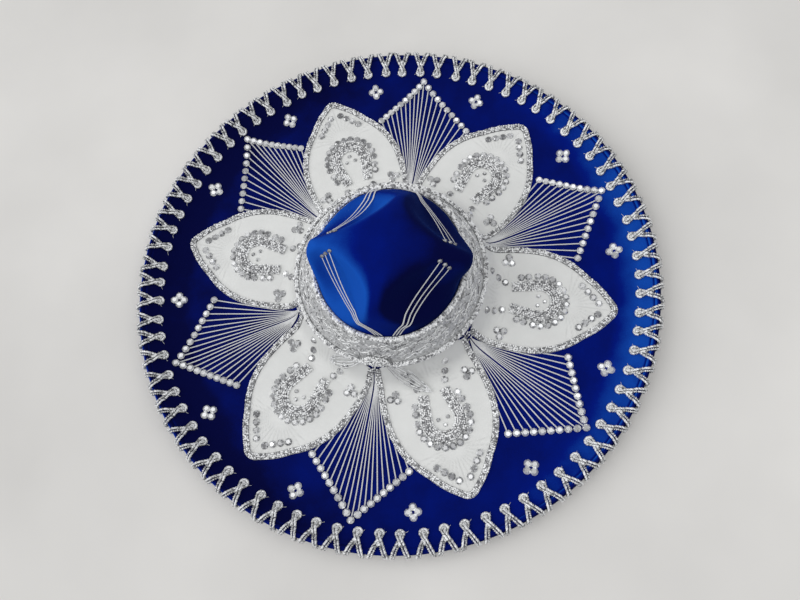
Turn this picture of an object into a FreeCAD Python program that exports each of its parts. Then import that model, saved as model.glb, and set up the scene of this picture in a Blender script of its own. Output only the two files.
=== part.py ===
"""Embroidered charro hat with a velvet crown, satin petals and silver trim.

Units are millimetres and degrees.  +Z is up, and the hat rests on z = 0 on the flat underside of
its brim.  The Z axis runs through the middle of the crown, and the tie is at the front, near -Y.
Every layer of the hat follows one section line, the outer face of the stiff form, at a constant
distance from it, so each piece is drawn with the same few functions and its own two offsets.
"""
import FreeCAD, Part
import Sketcher
import os
from math import asin, atan2, cos, degrees, hypot, radians, sin, sqrt

Vector = FreeCAD.Vector
UP = Vector(0, 0, 1)
doc = FreeCAD.newDocument("Sombrero")

SIZES = {
    # overall form
    "brim_radius": (280, "outer radius of the bound brim edge"),
    "crown_base_radius": (114, "where the crown side and the flat of the brim would meet"),
    "crown_height": (165, "top of the crown velvet above the resting plane"),
    "crown_wall_radius": (68, "radius of the form on the ridges, above the waist"),
    "waist_height": (108.2847, "where the leaning side has become upright"),
    "flare_radius": (21.2, "fillet between crown side and brim"),
    "waist_radius": (60, "arc between the leaning side and the upright wall"),
    "shoulder_radius": (25, "arc between the wall and the top of the crown"),
    "crown_top_radius": (90, "dome of the crown top"),
    "dent_radius": (85, "radius of each of the four dents"),
    "dent_reach": (118, "distance of a dent's centre from the axis"),
    "dent_height": (170, "height of a dent's centre"),
    "curl_radius": (70, "arc that lifts the brim to its edge"),
    "curl_angle": (32, "slope of the brim at its edge"),
    "curl_tip": (14, "straight stretch outside the arc"),
    # thicknesses of the layers
    "form_wall": (2.4, "stiff board and crown form"),
    "velvet": (1.2, "velvet covering, all of it"),
    "lining": (0.6, "crown lining"),
    "sweatband_wall": (1.2, "leather sweatband"),
    "band_wall": (1.6, "silver hat band"),
    "satin": (0.8, "satin of the petals and thread of the fans"),
    "bead": (2.2, "height of the beadwork over the satin"),
    # heights where the layers end on the crown side
    "under_velvet_turn": (2.459, "how far the velvet of the underside goes up past the flare"),
    "collar_height": (30, "joint between the brim board and the crown form"),
    "lining_bottom": (36, "lower edge of the lining"),
    "sweatband_height": (38, "height of the sweatband"),
    "band_bottom": (45, "lower edge of the hat band"),
    "velvet_seam": (60, "seam between brim velvet and crown velvet, under the band"),
    "band_top": (90, "upper edge of the hat band"),
    "band_cord": (4.4, "diameter of the beaded cords along the hat band"),
    "fit_gap": (0.1, "clearance between a trim piece and what it lies on"),
    # brim edge
    "edge_wire": (2.4, "diameter of the wire in the edge"),
    "edge_binding": (6.4, "diameter of the bound edge"),
    "edge_loops": (78, "number of cord loops round the edge"),
    "loop_cord": (2.2, "thickness of a cord loop"),
    "loop_head": (8.8, "width of a loop's round head"),
    "loop_length": (18.5, "from the brim edge to the middle of a loop's head"),
    "loop_foot": (14, "distance between a loop's two feet"),
    "loop_leg": (4, "width of a leg"),
    "loop_wrap": (9, "how far a leg goes back under the brim"),
    # petals
    "petal_length": (241, "petal tip from the axis"),
    "petal_half_width": (59, "half of the widest part"),
    "petal_belly": (148, "widest part from the axis"),
    "petal_flank": (38, "straight flank between the belly and the tip"),
    "petal_tip_round": (13, "rounding of the tip"),
    "petal_root": (70, "inner end of the cut-out, under the hat band"),
    "notch_radius": (106, "where two petals part, from the axis"),
    "notch_angle": (28.8, "the same place, from the petal's own axis"),
    "petal_border": (7, "width of the beaded border"),
    "shoe_centre": (160, "middle of the horseshoe's curve from the axis"),
    "shoe_outer": (23.5, "outer radius of the horseshoe's curve"),
    "shoe_band": (11.5, "width of the horseshoe's band"),
    "shoe_leg": (27, "length of its straight legs"),
    "shoe_close": (12, "how much its legs close towards the crown"),
    # thread fans
    "fan_tip": (252, "outer point of a fan from the axis"),
    "fan_slope": (42.4, "half of the angle at that point"),
    "fan_edge": (79, "length of an outer edge"),
    # stones
    "stone": (7.2, "diameter of a stone"),
    "small_stone": (4.6, "diameter of a small stone"),
    "stone_height": (2.6, "height of a stone"),
    "rosette_radius": (242, "middle of a rosette from the axis"),
    # crown threads and tie
    "crown_thread": (1.0, "diameter of a thread across a dent"),
    "crown_stud": (3.6, "diameter of the stud at a thread's upper end"),
    "stud_height": (140, "height of the lowest stud"),
    "tie_angle": (262, "where the tie is, round the axis"),
    "knot_width": (27, "width of the knot"),
    "knot_depth": (15, "knot along the slope"),
    "knot_height": (8, "how far the knot stands out from the cord under it"),
    "tie_loop": (4, "thickness of a loop of the tie"),
    "left_loop": (34, "length of the short loop"),
    "right_loop": (46, "length of the long loop"),
    "loop_width": (12, "width of a loop of the tie"),
}
PETALS = range(1, 7)
# The petals were laid by hand, so they aren't quite evenly spaced.
for petal, direction in zip(PETALS, (51, 109, 167.5, 231.5, 289.5, 351)):
    SIZES[f"petal_turn_{petal}"] = (direction, f"direction of petal {petal} round the axis")
for fan, lean in zip(PETALS, (10, 9, -17, 6, 2, 3)):
    SIZES[f"fan_lean_{fan}"] = (lean, f"how far the point of fan {fan} lies to one side")


def fill_sheet():
    sheet = doc.addObject("Spreadsheet::Sheet", "Sizes")
    for row, (alias, (value, note)) in enumerate(SIZES.items(), start=1):
        sheet.set(f"A{row}", note)
        sheet.set(f"B{row}", str(value))
        sheet.setAlias(f"B{row}", alias)
    doc.recompute()


fill_sheet()
places = doc.addObject("App::VarSet", "Places")


def place(name, expression):
    """A derived number, kept in the document and worked out from the sheet."""
    places.addProperty("App::PropertyFloat", name, "Section")
    places.setExpression(name, expression.replace("$", "Sizes."))
    doc.recompute([places])


def number(expression):
    """The present value of an expression in sheet sizes ($name) and places."""
    result = places.evalExpression(bind(expression))
    return float(getattr(result, "Value", result))


def bind(expression):
    return expression.replace("$", "Sizes.").replace("@", "Places.")


# The section line, offset 0: crown top, shoulder, wall, waist, leaning side, flare, flat, curl, tip
place("form_top", "$velvet + $form_wall")
place("waist_r", "$crown_wall_radius + $waist_radius")
place("waist_z", "$waist_height")
place("waist_out", "waist_r - $crown_base_radius")
place("waist_up", "waist_z - form_top")
place("side_slope", "(atan2(waist_up; waist_out) - acos($waist_radius / hypot(waist_out; waist_up))) / 1deg")
place("flare_r", "$crown_base_radius + $flare_radius * tan((90 - side_slope) / 2)")
place("flare_z", "form_top + $flare_radius")
place("under_top", "flare_z - ($flare_radius + $form_wall + $velvet) * sin(side_slope)"
      " + $under_velvet_turn")
place("edge_r", "$brim_radius - $edge_binding / 2")
place("tip_r", "edge_r - $edge_binding / 2 * cos($curl_angle) - $form_wall / 2 * sin($curl_angle)")
place("curl_r", "tip_r - $curl_radius * sin($curl_angle) - $curl_tip * cos($curl_angle)")
place("curl_z", "form_top + $curl_radius")
place("tip_z", "curl_z - $curl_radius * cos($curl_angle) + $curl_tip * sin($curl_angle)")
place("edge_z", "tip_z - $form_wall / 2 * cos($curl_angle) + $edge_binding / 2 * sin($curl_angle)")
place("dome_z", "$crown_height - $velvet - $crown_top_radius")
place("shoulder_r", "$crown_wall_radius - $shoulder_radius")
place("shoulder_reach", "$crown_top_radius - $shoulder_radius")
place("shoulder_z", "dome_z + sqrt(shoulder_reach * shoulder_reach - shoulder_r * shoulder_r)")


# Fan k lies halfway between petal k and the petal before it.
place("fan_turn_1", "($petal_turn_6 - 360 + $petal_turn_1) / 2")
for fan in range(2, 7):
    place(f"fan_turn_{fan}", f"($petal_turn_{fan - 1} + $petal_turn_{fan}) / 2")


# Each function gives one corner of the section line, moved outwards by an offset.
def on_side(height, offset):
    r = f"$crown_base_radius - ({height} - @form_top) * tan(@side_slope) + ({offset}) / cos(@side_slope)"
    return r, height


def on_waist(height, offset):
    rise = f"(@waist_z - ({height}))"
    return f"@waist_r - sqrt(($waist_radius - ({offset})) ^ 2 - {rise} * {rise})", height


def waist_start(offset):
    r = f"@waist_r - ($waist_radius - ({offset})) * cos(@side_slope)"
    return r, f"@waist_z - ($waist_radius - ({offset})) * sin(@side_slope)"


def waist_end(offset):
    return f"$crown_wall_radius + ({offset})", "@waist_z"


def wall_end(offset):
    return f"$crown_wall_radius + ({offset})", "@shoulder_z"


def shoulder_end(offset):
    grow = f"(1 + ({offset}) / $crown_top_radius) * $crown_top_radius / @shoulder_reach"
    return f"@shoulder_r * {grow}", f"@dome_z + (@shoulder_z - @dome_z) * {grow}"


def crown_apex(offset):
    return "0", f"@dome_z + $crown_top_radius + ({offset})"


def crown_side(height, offset):
    """A corner on the leaning side or, where that has ended, on the waist."""
    corner = on_waist if number(height) > number(waist_start(offset)[1]) else on_side
    return corner(height, offset)


def flare_start(offset):
    r = f"@flare_r - ($flare_radius - ({offset})) * cos(@side_slope)"
    return r, f"@flare_z - ($flare_radius - ({offset})) * sin(@side_slope)"


def flare_end(offset):
    return "@flare_r", f"@form_top + ({offset})"


def curl_start(offset):
    return "@curl_r", f"@form_top + ({offset})"


def on_curl(turn, offset):
    r = f"@curl_r + ($curl_radius - ({offset})) * sin({turn})"
    return r, f"@curl_z - ($curl_radius - ({offset})) * cos({turn})"


def tip_end(offset, short="0"):
    r = f"@tip_r - ({offset}) * sin($curl_angle) - ({short}) * cos($curl_angle)"
    return r, f"@tip_z + ({offset}) * cos($curl_angle) - ({short}) * sin($curl_angle)"


def arc(centre_r, centre_z, radius, left):
    """An arc to the next corner, turning left (or right) about its centre."""
    return centre_r, centre_z, radius, left


def waist_arc(offset, left):
    return arc("@waist_r", "@waist_z", f"$waist_radius - ({offset})", left)


def flare_arc(offset, left):
    return arc("@flare_r", "@flare_z", f"$flare_radius - ({offset})", left)


def curl_arc(offset, left):
    return arc("@curl_r", "@curl_z", f"$curl_radius - ({offset})", left)


def draw(sketch, corners):
    """Draw a closed outline.  Each corner is (x, y) or (x, y, arc), in expressions."""
    spots = [Vector(number(c[0]), number(c[1]), 0) for c in corners]
    ends = []
    for i, corner in enumerate(corners):
        start = spots[i]
        stop = spots[(i + 1) % len(corners)]
        if len(corner) == 2:
            sketch.addGeometry(Part.LineSegment(start, stop), False)
            ends.append((1, 2))
            continue
        centre_x, centre_y, radius, left = corner[2]
        centre = Vector(number(centre_x), number(centre_y), 0)
        circle = Part.Circle(centre, UP, number(radius))
        turns = [atan2(p.y - centre.y, p.x - centre.x) for p in (start, stop)]
        first, last = turns if left else reversed(turns)
        sketch.addGeometry(Part.ArcOfCircle(circle, first, last), False)
        ends.append((1, 2) if left else (2, 1))
    for i, corner in enumerate(corners):
        after = (i + 1) % len(corners)
        sketch.addConstraint(Sketcher.Constraint("Coincident", i, ends[i][1], after, ends[after][0]))
        if len(corner) == 3:
            bound(sketch, Sketcher.Constraint("Radius", i, number(corner[2][2])), corner[2][2])
        for kind, axis, text in (("DistanceX", -2, corner[0]), ("DistanceY", -1, corner[1])):
            if text == "0":
                sketch.addConstraint(Sketcher.Constraint("PointOnObject", i, ends[i][0], axis))
            else:
                rule = Sketcher.Constraint(kind, -1, 1, i, ends[i][0], number(text))
                bound(sketch, rule, text)


def bound(sketch, rule, expression):
    index = sketch.addConstraint(rule)
    sketch.setExpression(f"Constraints[{index}]", bind(expression))


def new_body(name, plane, corners):
    """A body with one sketch on one of its own origin planes."""
    body = doc.addObject("PartDesign::Body", name)
    sketch = body.newObject("Sketcher::SketchObject", name + "_sketch")
    support = next(f for f in body.Origin.OriginFeatures if f.Role == plane)
    sketch.AttachmentSupport = (support, [""])
    sketch.MapMode = "FlatFace"
    doc.recompute([body, sketch])
    draw(sketch, corners)
    return body, sketch


def revolved(name, corners):
    body, sketch = new_body(name, "XZ_Plane", corners)
    turn = body.newObject("PartDesign::Revolution", name + "_turn")
    turn.Profile = sketch
    turn.ReferenceAxis = (sketch, ["V_Axis"])
    turn.Angle = 360
    return body


def upright(name, corners):
    """A prism on the resting plane, tall enough to pass the rim and the hat band."""
    body, sketch = new_body(name, "XY_Plane", corners)
    pad = body.newObject("PartDesign::Pad", name + "_pad")
    pad.Profile = sketch
    pad.setExpression("Length", bind("$band_top"))
    return body


def boolean(kind, name, base, tool):
    result = doc.addObject("Part::" + kind, name)
    result.Base = base
    result.Tool = tool
    return result


def put(piece, x, y, angle):
    """Move a piece over the resting plane and turn it about the upright direction."""
    turn = f"create(<<rotation>>; create(<<vector>>; 0; 0; 1); {angle})"
    piece.setExpression("Placement", bind(f"create(<<placement>>; create(<<vector>>; {x}; {y}; 0); {turn})"))


def turn_about_axis(piece, angle):
    put(piece, "0", "0", angle)


# Brim ------------------------------------------------------------------------------------------
def brim_section(top, bottom, height):
    """The brim from its edge up to a height on the crown side, between two offsets."""
    return [
        on_side(height, top),
        flare_start(top) + (flare_arc(top, True),),
        flare_end(top),
        curl_start(top) + (curl_arc(top, True),),
        on_curl("$curl_angle", top),
        tip_end(top),
        tip_end(bottom),
        on_curl("$curl_angle", bottom) + (curl_arc(bottom, False),),
        curl_start(bottom),
        flare_end(bottom) + (flare_arc(bottom, False),),
        flare_start(bottom),
        on_side(height, bottom),
    ]


def make_brim():
    revolved("brim_board", brim_section("0", "-$form_wall", "$collar_height"))
    revolved("brim_velvet_top", brim_section("$velvet", "0", "$velvet_seam"))
    under = brim_section("-$form_wall", "-$form_wall - $velvet", "@under_top")
    revolved("brim_velvet_under", under)


def torus(name, ring, height, diameter):
    ring_shape = doc.addObject("Part::Torus", name)
    ring_shape.setExpression("Radius1", bind(ring))
    ring_shape.setExpression("Radius2", bind(f"({diameter}) / 2"))
    ring_shape.setExpression("Placement.Base.z", bind(height))
    return ring_shape


def make_edge():
    torus("brim_edge_wire", "@edge_r", "@edge_z", "$edge_wire")
    outside = torus("binding_outside", "@edge_r", "@edge_z", "$edge_binding")
    inside = torus("binding_inside", "@edge_r", "@edge_z", "$edge_wire + 2 * $fit_gap")
    boolean("Cut", "edge_binding", outside, inside)


# Crown -----------------------------------------------------------------------------------------
def crown_solid(name, offset, height, corner):
    """A filled crown with its four dents, moved outwards by an offset."""
    low = corner(height, offset)
    if corner is on_waist:
        side = [low + (waist_arc(offset, False),)]
    else:
        side = [low, waist_start(offset) + (waist_arc(offset, False),)]
    plain = revolved(name + "_plain", [("0", height)] + side + [
        waist_end(offset),
        wall_end(offset) + (arc("@shoulder_r", "@shoulder_z", f"$shoulder_radius + ({offset})", True),),
        shoulder_end(offset) + (arc("0", "@dome_z", f"$crown_top_radius + ({offset})", True),),
        crown_apex(offset),
    ])
    for k in range(4):
        ball = doc.addObject("Part::Sphere", f"{name}_dent_{k}")
        ball.setExpression("Radius", bind(f"$dent_radius - ({offset})"))
        ball.setExpression("Placement.Base.x", bind(f"$dent_reach * cos({45 + 90 * k})"))
        ball.setExpression("Placement.Base.y", bind(f"$dent_reach * sin({45 + 90 * k})"))
        ball.setExpression("Placement.Base.z", bind("$dent_height"))
        plain = boolean("Cut", f"{name}_dented_{k}", plain, ball)
    return plain


def crown_layer(name, outer, inner, height, corner=on_side):
    outside = crown_solid(name + "_outside", outer, height, corner)
    inside = crown_solid(name + "_inside", inner, height, corner)
    boolean("Cut", name, outside, inside)


def make_crown():
    crown_layer("crown_form", "0", "-$form_wall", "$collar_height")
    crown_layer("crown_velvet", "$velvet", "0", "$velvet_seam")
    crown_layer("crown_lining", "-$form_wall", "-$form_wall - $lining", "$lining_bottom")


def make_sweatband():
    face = "-$form_wall - $lining - $fit_gap"
    low = "@under_top + $fit_gap"
    high = low + " + $sweatband_height"
    back = f"{face} - $sweatband_wall"
    revolved("sweatband", [on_side(low, face), on_side(high, face), on_side(high, back), on_side(low, back)])


def make_hat_band():
    face = "$velvet + $band_wall"
    top = [crown_side("$band_top", face), crown_side("$band_top", "$velvet")]
    if number("$band_top") > number(waist_start(face)[1]):
        top[1] += (waist_arc("$velvet", True),)
        top = [waist_start(face) + (waist_arc(face, False),)] + top + [waist_start("$velvet")]
    revolved("hat_band", [on_side("$band_bottom", "$velvet"), on_side("$band_bottom", face)] + top)
    lift = "$velvet + $band_cord / 2"
    upper = "$band_top + $band_cord / 2 + $fit_gap"
    torus("band_cord_upper", crown_side(upper, lift + " + $fit_gap")[0], upper, "$band_cord")
    lower = "$band_bottom - $band_cord / 2 - $fit_gap"
    torus("band_cord_lower", on_side(lower, lift + " + $satin + $fit_gap")[0], lower, "$band_cord")


# Petals ----------------------------------------------------------------------------------------
place("notch_x", "$notch_radius * cos($notch_angle)")
place("notch_y", "$notch_radius * sin($notch_angle)")
place("side_rise", "$petal_half_width - notch_y")
place("side_radius", "((pow($petal_belly - notch_x; 2) + pow(side_rise; 2)) / 2) / side_rise")
place("tip_centre", "$petal_length - $petal_tip_round")
place("flank_run", "tip_centre - $petal_belly")
place("flank_square", "pow(flank_run; 2) + pow($petal_half_width; 2) - pow($petal_flank; 2)")
place("belly_radius", "(flank_square - pow($petal_tip_round; 2)) / 2"
      " / ($petal_half_width - $petal_tip_round)")
place("flank_rise", "belly_radius - $petal_half_width")
place("flank_slope", "(atan2(flank_rise; flank_run) + acos((belly_radius - $petal_tip_round)"
      " / hypot(flank_run; flank_rise))) / 1deg")


def petal_outline(inset):
    """One petal along +X.  Its side, flank and tip are tangent to each other."""
    side = f"(@side_radius - {inset})"
    belly = f"(@belly_radius - {inset})"
    tip = f"($petal_tip_round - {inset})"
    reach = "($petal_belly - @notch_x)"
    tip_arc = arc("@tip_centre", "0", tip, True)
    halves = []
    for sign in ("-1", "1"):
        side_centre = f"{sign} * ($petal_half_width - @side_radius)"
        belly_centre = f"{sign} * ($petal_half_width - @belly_radius)"
        root = ("$petal_root", f"{sign} * ($petal_root * tan($notch_angle) - {inset})")
        notch = ("@notch_x", f"{side_centre} + {sign} * sqrt({side} ^ 2 - {reach} * {reach})")
        widest = ("$petal_belly", f"{sign} * ($petal_half_width - {inset})")
        flank = (f"$petal_belly + {belly} * cos(@flank_slope)",
                 f"{belly_centre} + {sign} * {belly} * sin(@flank_slope)")
        point = (f"@tip_centre + {tip} * cos(@flank_slope)", f"{sign} * {tip} * sin(@flank_slope)")
        side_arc = arc("$petal_belly", side_centre, side, True)
        belly_arc = arc("$petal_belly", belly_centre, belly, True)
        halves.append((root, notch, widest, flank, point, side_arc, belly_arc))
    root, notch, widest, flank, point, side_arc, belly_arc = halves[0]
    right = [root, notch + (side_arc,), widest + (belly_arc,), flank, point + (tip_arc,)]
    root, notch, widest, flank, point, side_arc, belly_arc = halves[1]
    left = [point, flank + (belly_arc,), widest + (side_arc,), notch, root]
    return right + left


def horseshoe_outline():
    """A horseshoe along +X, with its curve outwards and its legs closing towards the crown."""
    inner = "($shoe_outer - $shoe_band)"
    spots = []
    for sign in ("-1", "1"):
        for radius in ("$shoe_outer", inner):
            foot = (f"$shoe_centre - {radius} * sin($shoe_close) - $shoe_leg * cos($shoe_close)",
                    f"{sign} * ({radius} * cos($shoe_close) - $shoe_leg * sin($shoe_close))")
            hip = (f"$shoe_centre - {radius} * sin($shoe_close)",
                   f"{sign} * {radius} * cos($shoe_close)")
            spots.append((foot, hip))
    (foot_a, hip_a), (foot_b, hip_b), (foot_c, hip_c), (foot_d, hip_d) = spots
    outside = arc("$shoe_centre", "0", "$shoe_outer", True)
    inside = arc("$shoe_centre", "0", inner, False)
    return [foot_a, hip_a + (outside,), hip_c, foot_c, foot_d, hip_d + (inside,), hip_b, foot_b]


def drape_section(bottom, top, high):
    """A layer of trim from a height on the crown side, down the flare and out into the curl."""
    far = "($curl_angle * 0.88)"
    return [
        on_side(high, top),
        flare_start(top) + (flare_arc(top, True),),
        flare_end(top),
        curl_start(top) + (curl_arc(top, True),),
        on_curl(far, top),
        on_curl(far, bottom) + (curl_arc(bottom, False),),
        curl_start(bottom),
        flare_end(bottom) + (flare_arc(bottom, False),),
        flare_start(bottom),
        on_side(high, bottom),
    ]


SATIN_TOP = "$velvet + $satin"
BEADS_TOP = "$velvet + $satin + $bead"
UNDER_CORD = "$band_bottom - $band_cord - 3 * $fit_gap"


def make_petals():
    satin_layer = revolved("satin_layer", drape_section("$velvet", SATIN_TOP, "$band_bottom"))
    bead_layer = revolved("bead_layer", drape_section(SATIN_TOP, BEADS_TOP, UNDER_CORD))
    outline = upright("petal_cut_out", petal_outline("0"))
    inner = upright("petal_inner_line", petal_outline("$petal_border"))
    ring = boolean("Cut", "border_cut_out", outline, inner)
    shoe = upright("horseshoe_cut_out", horseshoe_outline())
    for k in PETALS:
        turn = f"$petal_turn_{k}"
        turn_about_axis(boolean("Common", f"petal_{k}", satin_layer, outline), turn)
        turn_about_axis(boolean("Common", f"petal_border_{k}", bead_layer, ring), turn)
        turn_about_axis(boolean("Common", f"horseshoe_{k}", bead_layer, shoe), turn)
    for k in PETALS:
        kite = upright(f"fan_cut_out_{k}", fan_outline(f"$fan_lean_{k}"))
        blank = boolean("Common", f"fan_blank_{k}", satin_layer, kite)
        turn_about_axis(blank, f"@fan_turn_{k}")
        trimmed = boolean("Cut", f"fan_trimmed_{k}", blank, doc.getObject(f"petal_{(k + 4) % 6 + 1}"))
        boolean("Cut", f"thread_fan_{k}", trimmed, doc.getObject(f"petal_{k}"))


def fan_outline(lean):
    """A kite along +X: its inner point is where two petals part, its outer edges carry stones."""
    shoulder = "$fan_tip - $fan_edge * cos($fan_slope)"
    wide = "$fan_edge * sin($fan_slope)"
    return [("$notch_radius", "0"), (shoulder, "-1 * " + wide), ("$fan_tip", lean), (shoulder, wide)]


# Brim edge loops ---------------------------------------------------------------------------------
def make_edge_loops():
    """One cord loop, cut from a layer that wraps the edge, then set round the brim."""
    under = "-$form_wall - $velvet"
    top = "$velvet + $loop_cord"
    bottom = "-$form_wall - $velvet - $loop_cord"
    start = "($curl_angle / 2)"
    inside = "hypot($edge_binding / 2; $form_wall / 2 + $velvet)"
    outside = "hypot($edge_binding / 2; $form_wall / 2 + $velvet + $loop_cord)"
    layer = revolved("loop_layer", [
        on_curl(start, "$velvet") + (curl_arc("$velvet", True),),
        on_curl("$curl_angle", "$velvet"),
        tip_end("$velvet") + (arc("@edge_r", "@edge_z", inside, False),),
        tip_end(under),
        tip_end(under, "$loop_wrap"),
        tip_end(bottom, "$loop_wrap"),
        tip_end(bottom) + (arc("@edge_r", "@edge_z", outside, True),),
        tip_end(top),
        on_curl("$curl_angle", top) + (curl_arc(top, False),),
        on_curl(start, top),
    ])
    head = doc.addObject("Part::Cylinder", "loop_head_disc")
    head.setExpression("Radius", bind("$loop_head / 2"))
    head.setExpression("Height", bind("$band_top"))
    head.setExpression("Placement.Base.x", bind("$brim_radius - $loop_length"))
    parts = [head]
    spread = "(asin($loop_foot / 2 / $loop_length) / 1deg)"
    for sign in (-1, 1):
        leg = doc.addObject("Part::Box", f"loop_leg_{len(parts)}")
        leg.setExpression("Length", bind("$loop_length + 2 * $loop_cord + $edge_binding"))
        leg.setExpression("Width", bind("$loop_leg"))
        leg.setExpression("Height", bind("$band_top"))
        angle = f"{sign} * {spread}"
        x = f"$brim_radius - $loop_length + $loop_leg / 2 * sin({angle})"
        y = f"-$loop_leg / 2 * cos({angle})"
        put(leg, x, y, angle)
        parts.append(leg)
    shape = doc.addObject("Part::MultiFuse", "loop_cut_out")
    shape.Shapes = parts
    one = boolean("Common", "one_loop", layer, shape)
    doc.recompute()
    count = int(number("$edge_loops"))
    group("edge_loops", [turned(one.Shape, 360 * k / count) for k in range(count)])


def turned(shape, angle):
    copy = shape.copy()
    copy.rotate(Vector(0, 0, 0), UP, angle)
    return copy


def group(name, shapes):
    """Like pieces kept together as separate solids of one sub-part."""
    piece = doc.addObject("Part::Feature", name)
    piece.Shape = Part.makeCompound([solid for shape in shapes for solid in shape.Solids])
    piece.Placement = FreeCAD.Placement()
    return piece


# Stones ------------------------------------------------------------------------------------------
def brim_spot(x, y, angle, offset):
    """A point over the brim and the direction out of its face, in a pattern turned by an angle."""
    r = hypot(x, y)
    around = atan2(y, x) + radians(angle)
    lean = 0
    height = number("@form_top") + offset
    if r < number("@flare_r"):
        reach = number("$flare_radius") - offset
        steepest = radians(90 - number("@side_slope"))
        run = (number("@flare_r") - r) / reach
        if run < sin(steepest):
            lean = asin(run)
            height = number("@flare_z") - reach * cos(lean)
        else:
            lean = steepest
            side = number("$crown_base_radius") + offset / sin(steepest) - r
            height = number("@form_top") + side * sin(steepest) / cos(steepest)
    if r > number("@curl_r"):
        reach = number("$curl_radius") - offset
        lean = -asin((r - number("@curl_r")) / reach)
        height = number("@curl_z") - reach * cos(lean)
    out = Vector(cos(around), sin(around), 0)
    return out * r + UP * height, out * sin(lean) + UP * cos(lean)


def stone(x, y, angle, offset, diameter):
    """A cut stone with a flat back, lying on the brim and clear of the curve under it."""
    r = hypot(x, y)
    hollow = 0
    if r < number("@flare_r") + diameter / 2:
        hollow = diameter ** 2 / 8 / (number("$flare_radius") - offset)
    if r > number("@curl_r") - diameter / 2:
        hollow = diameter ** 2 / 8 / (number("$curl_radius") - offset)
    spot, out = brim_spot(x, y, angle, offset + hollow + number("$fit_gap") / 2)
    height = number("$stone_height") * diameter / number("$stone")
    return Part.makeCone(diameter / 2, diameter * 0.3, height, spot, out)


def petal_stone_spots():
    """Where the stones of one petal lie, along +X: (x, y, small)."""
    size = number("$stone")
    centre = number("$shoe_centre")
    close = radians(number("$shoe_close"))
    ring = number("$shoe_outer") + size / 2 + 0.6
    spots = []
    on_ring = 13
    for k in range(on_ring):
        turn = radians(-100 + 200 * k / (on_ring - 1))
        spots.append((centre + ring * cos(turn), ring * sin(turn), False))
    flank = radians(number("@flank_slope"))
    inset = number("$petal_tip_round") - number("$petal_border") - size / 2 - 2.5
    half = []
    for step in (9, 17):
        half.append((centre - ring * sin(close) - step * cos(close), ring * cos(close) - step * sin(close)))
    for step in (0, 8, 16):
        half.append((centre - 39 - step, 15.5 + 0.4 * step))
    for dx, dy in ((0, 4.2), (-3.7, -2.6), (3.7, -2.6)):
        half.append((centre - 38 + dx, 41 + dy))
    for k in range(4):
        back = 9 + 8.4 * k
        half.append((number("@tip_centre") - back * sin(flank) + inset * cos(flank),
                     back * cos(flank) + inset * sin(flank)))
    spots += [(x, sign * y, False) for x, y in half for sign in (-1, 1)]
    return spots + [(centre + 5, 0, True), (centre - 2, 5.2, True), (centre - 2, -5.2, True)]


def fan_stone_spots(k):
    """Where the stones of one fan lie, along +X: from its point along both outer edges."""
    size = number("$stone")
    slope = radians(number("$fan_slope"))
    tip = number("$fan_tip")
    lean = number(f"$fan_lean_{k}")
    back = number("$fan_edge") * cos(slope)
    per_edge = 9
    spots = [(tip, lean)]
    for sign in (-1, 1):
        across = sign * number("$fan_edge") * sin(slope) - lean
        short = 1 - size / 2 / hypot(back, across)
        for step in range(1, per_edge + 1):
            share = short * step / per_edge
            spots.append((tip - back * share, lean + across * share))
    return spots


def make_stones():
    size = number("$stone")
    small = number("$small_stone")
    on_satin = number(SATIN_TOP)
    on_velvet = number("$velvet")
    for k in PETALS:
        angle = number(f"$petal_turn_{k}")
        group(f"petal_stones_{k}", [stone(x, y, angle, on_satin, small if little else size)
                                    for x, y, little in petal_stone_spots()])
        angle = number(f"@fan_turn_{k}")
        group(f"fan_stones_{k}", [stone(x, y, angle, on_satin, size) for x, y in fan_stone_spots(k)])
    spread = size / 2 + 1.5
    middle = number("$rosette_radius")
    corners = ((spread, 0), (-spread, 0), (0, spread), (0, -spread))
    angles = []
    points = [number(f"@fan_turn_{k}") + degrees(atan2(number(f"$fan_lean_{k}"), number("$fan_tip")))
              for k in PETALS]
    for k, before, after in zip(PETALS, points, points[1:] + [points[0] + 360]):
        petal = number(f"$petal_turn_{k}")
        angles += [(before + petal) / 2, (petal + after) / 2]
    group("rosette_stones", [stone(middle + dx, dy, angle, on_velvet, size)
                             for angle in angles for dx, dy in corners])


# Threads across the dents --------------------------------------------------------------------------
def crown_spot(angle, height, offset):
    """A point on the crown above its waist, in or beside a dent, moved outwards by an offset."""
    above = height - number("@shoulder_z")
    r = number("$crown_wall_radius") + offset
    if height > number(shoulder_end(str(offset))[1]):
        r = sqrt((number("$crown_top_radius") + offset) ** 2 - (height - number("@dome_z")) ** 2)
    elif above > 0:
        r = number("@shoulder_r") + sqrt((number("$shoulder_radius") + offset) ** 2 - above ** 2)
    reach = number("$dent_reach")
    dent = number("$dent_radius") - offset
    from_dent = radians((angle - 45) % 90)
    if from_dent > radians(45):
        from_dent -= radians(90)
    along = reach * cos(from_dent)
    spare = along ** 2 - reach ** 2 - (height - number("$dent_height")) ** 2 + dent ** 2
    if spare > 0:
        r = min(r, along - sqrt(spare))
    return Vector(r * cos(radians(angle)), r * sin(radians(angle)), height)


def dent_foot(angle):
    """The height at which a dent runs out on the upright wall."""
    reach = number("$dent_reach")
    along = reach * cos(radians(angle - 45))
    across = along - number("$crown_wall_radius")
    drop = sqrt(number("$dent_radius") ** 2 - reach ** 2 + along ** 2 - across ** 2)
    return number("$dent_height") - drop


def strand(points, radius):
    """A round thread through points, rounded at its bends, as one solid."""
    runs = [Part.makeCylinder(radius, (b - a).Length, a, b - a) for a, b in zip(points, points[1:])]
    bends = [Part.makeSphere(radius, point) for point in points[1:-1]]
    return runs[0].multiFuse(runs[1:] + bends)


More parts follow.
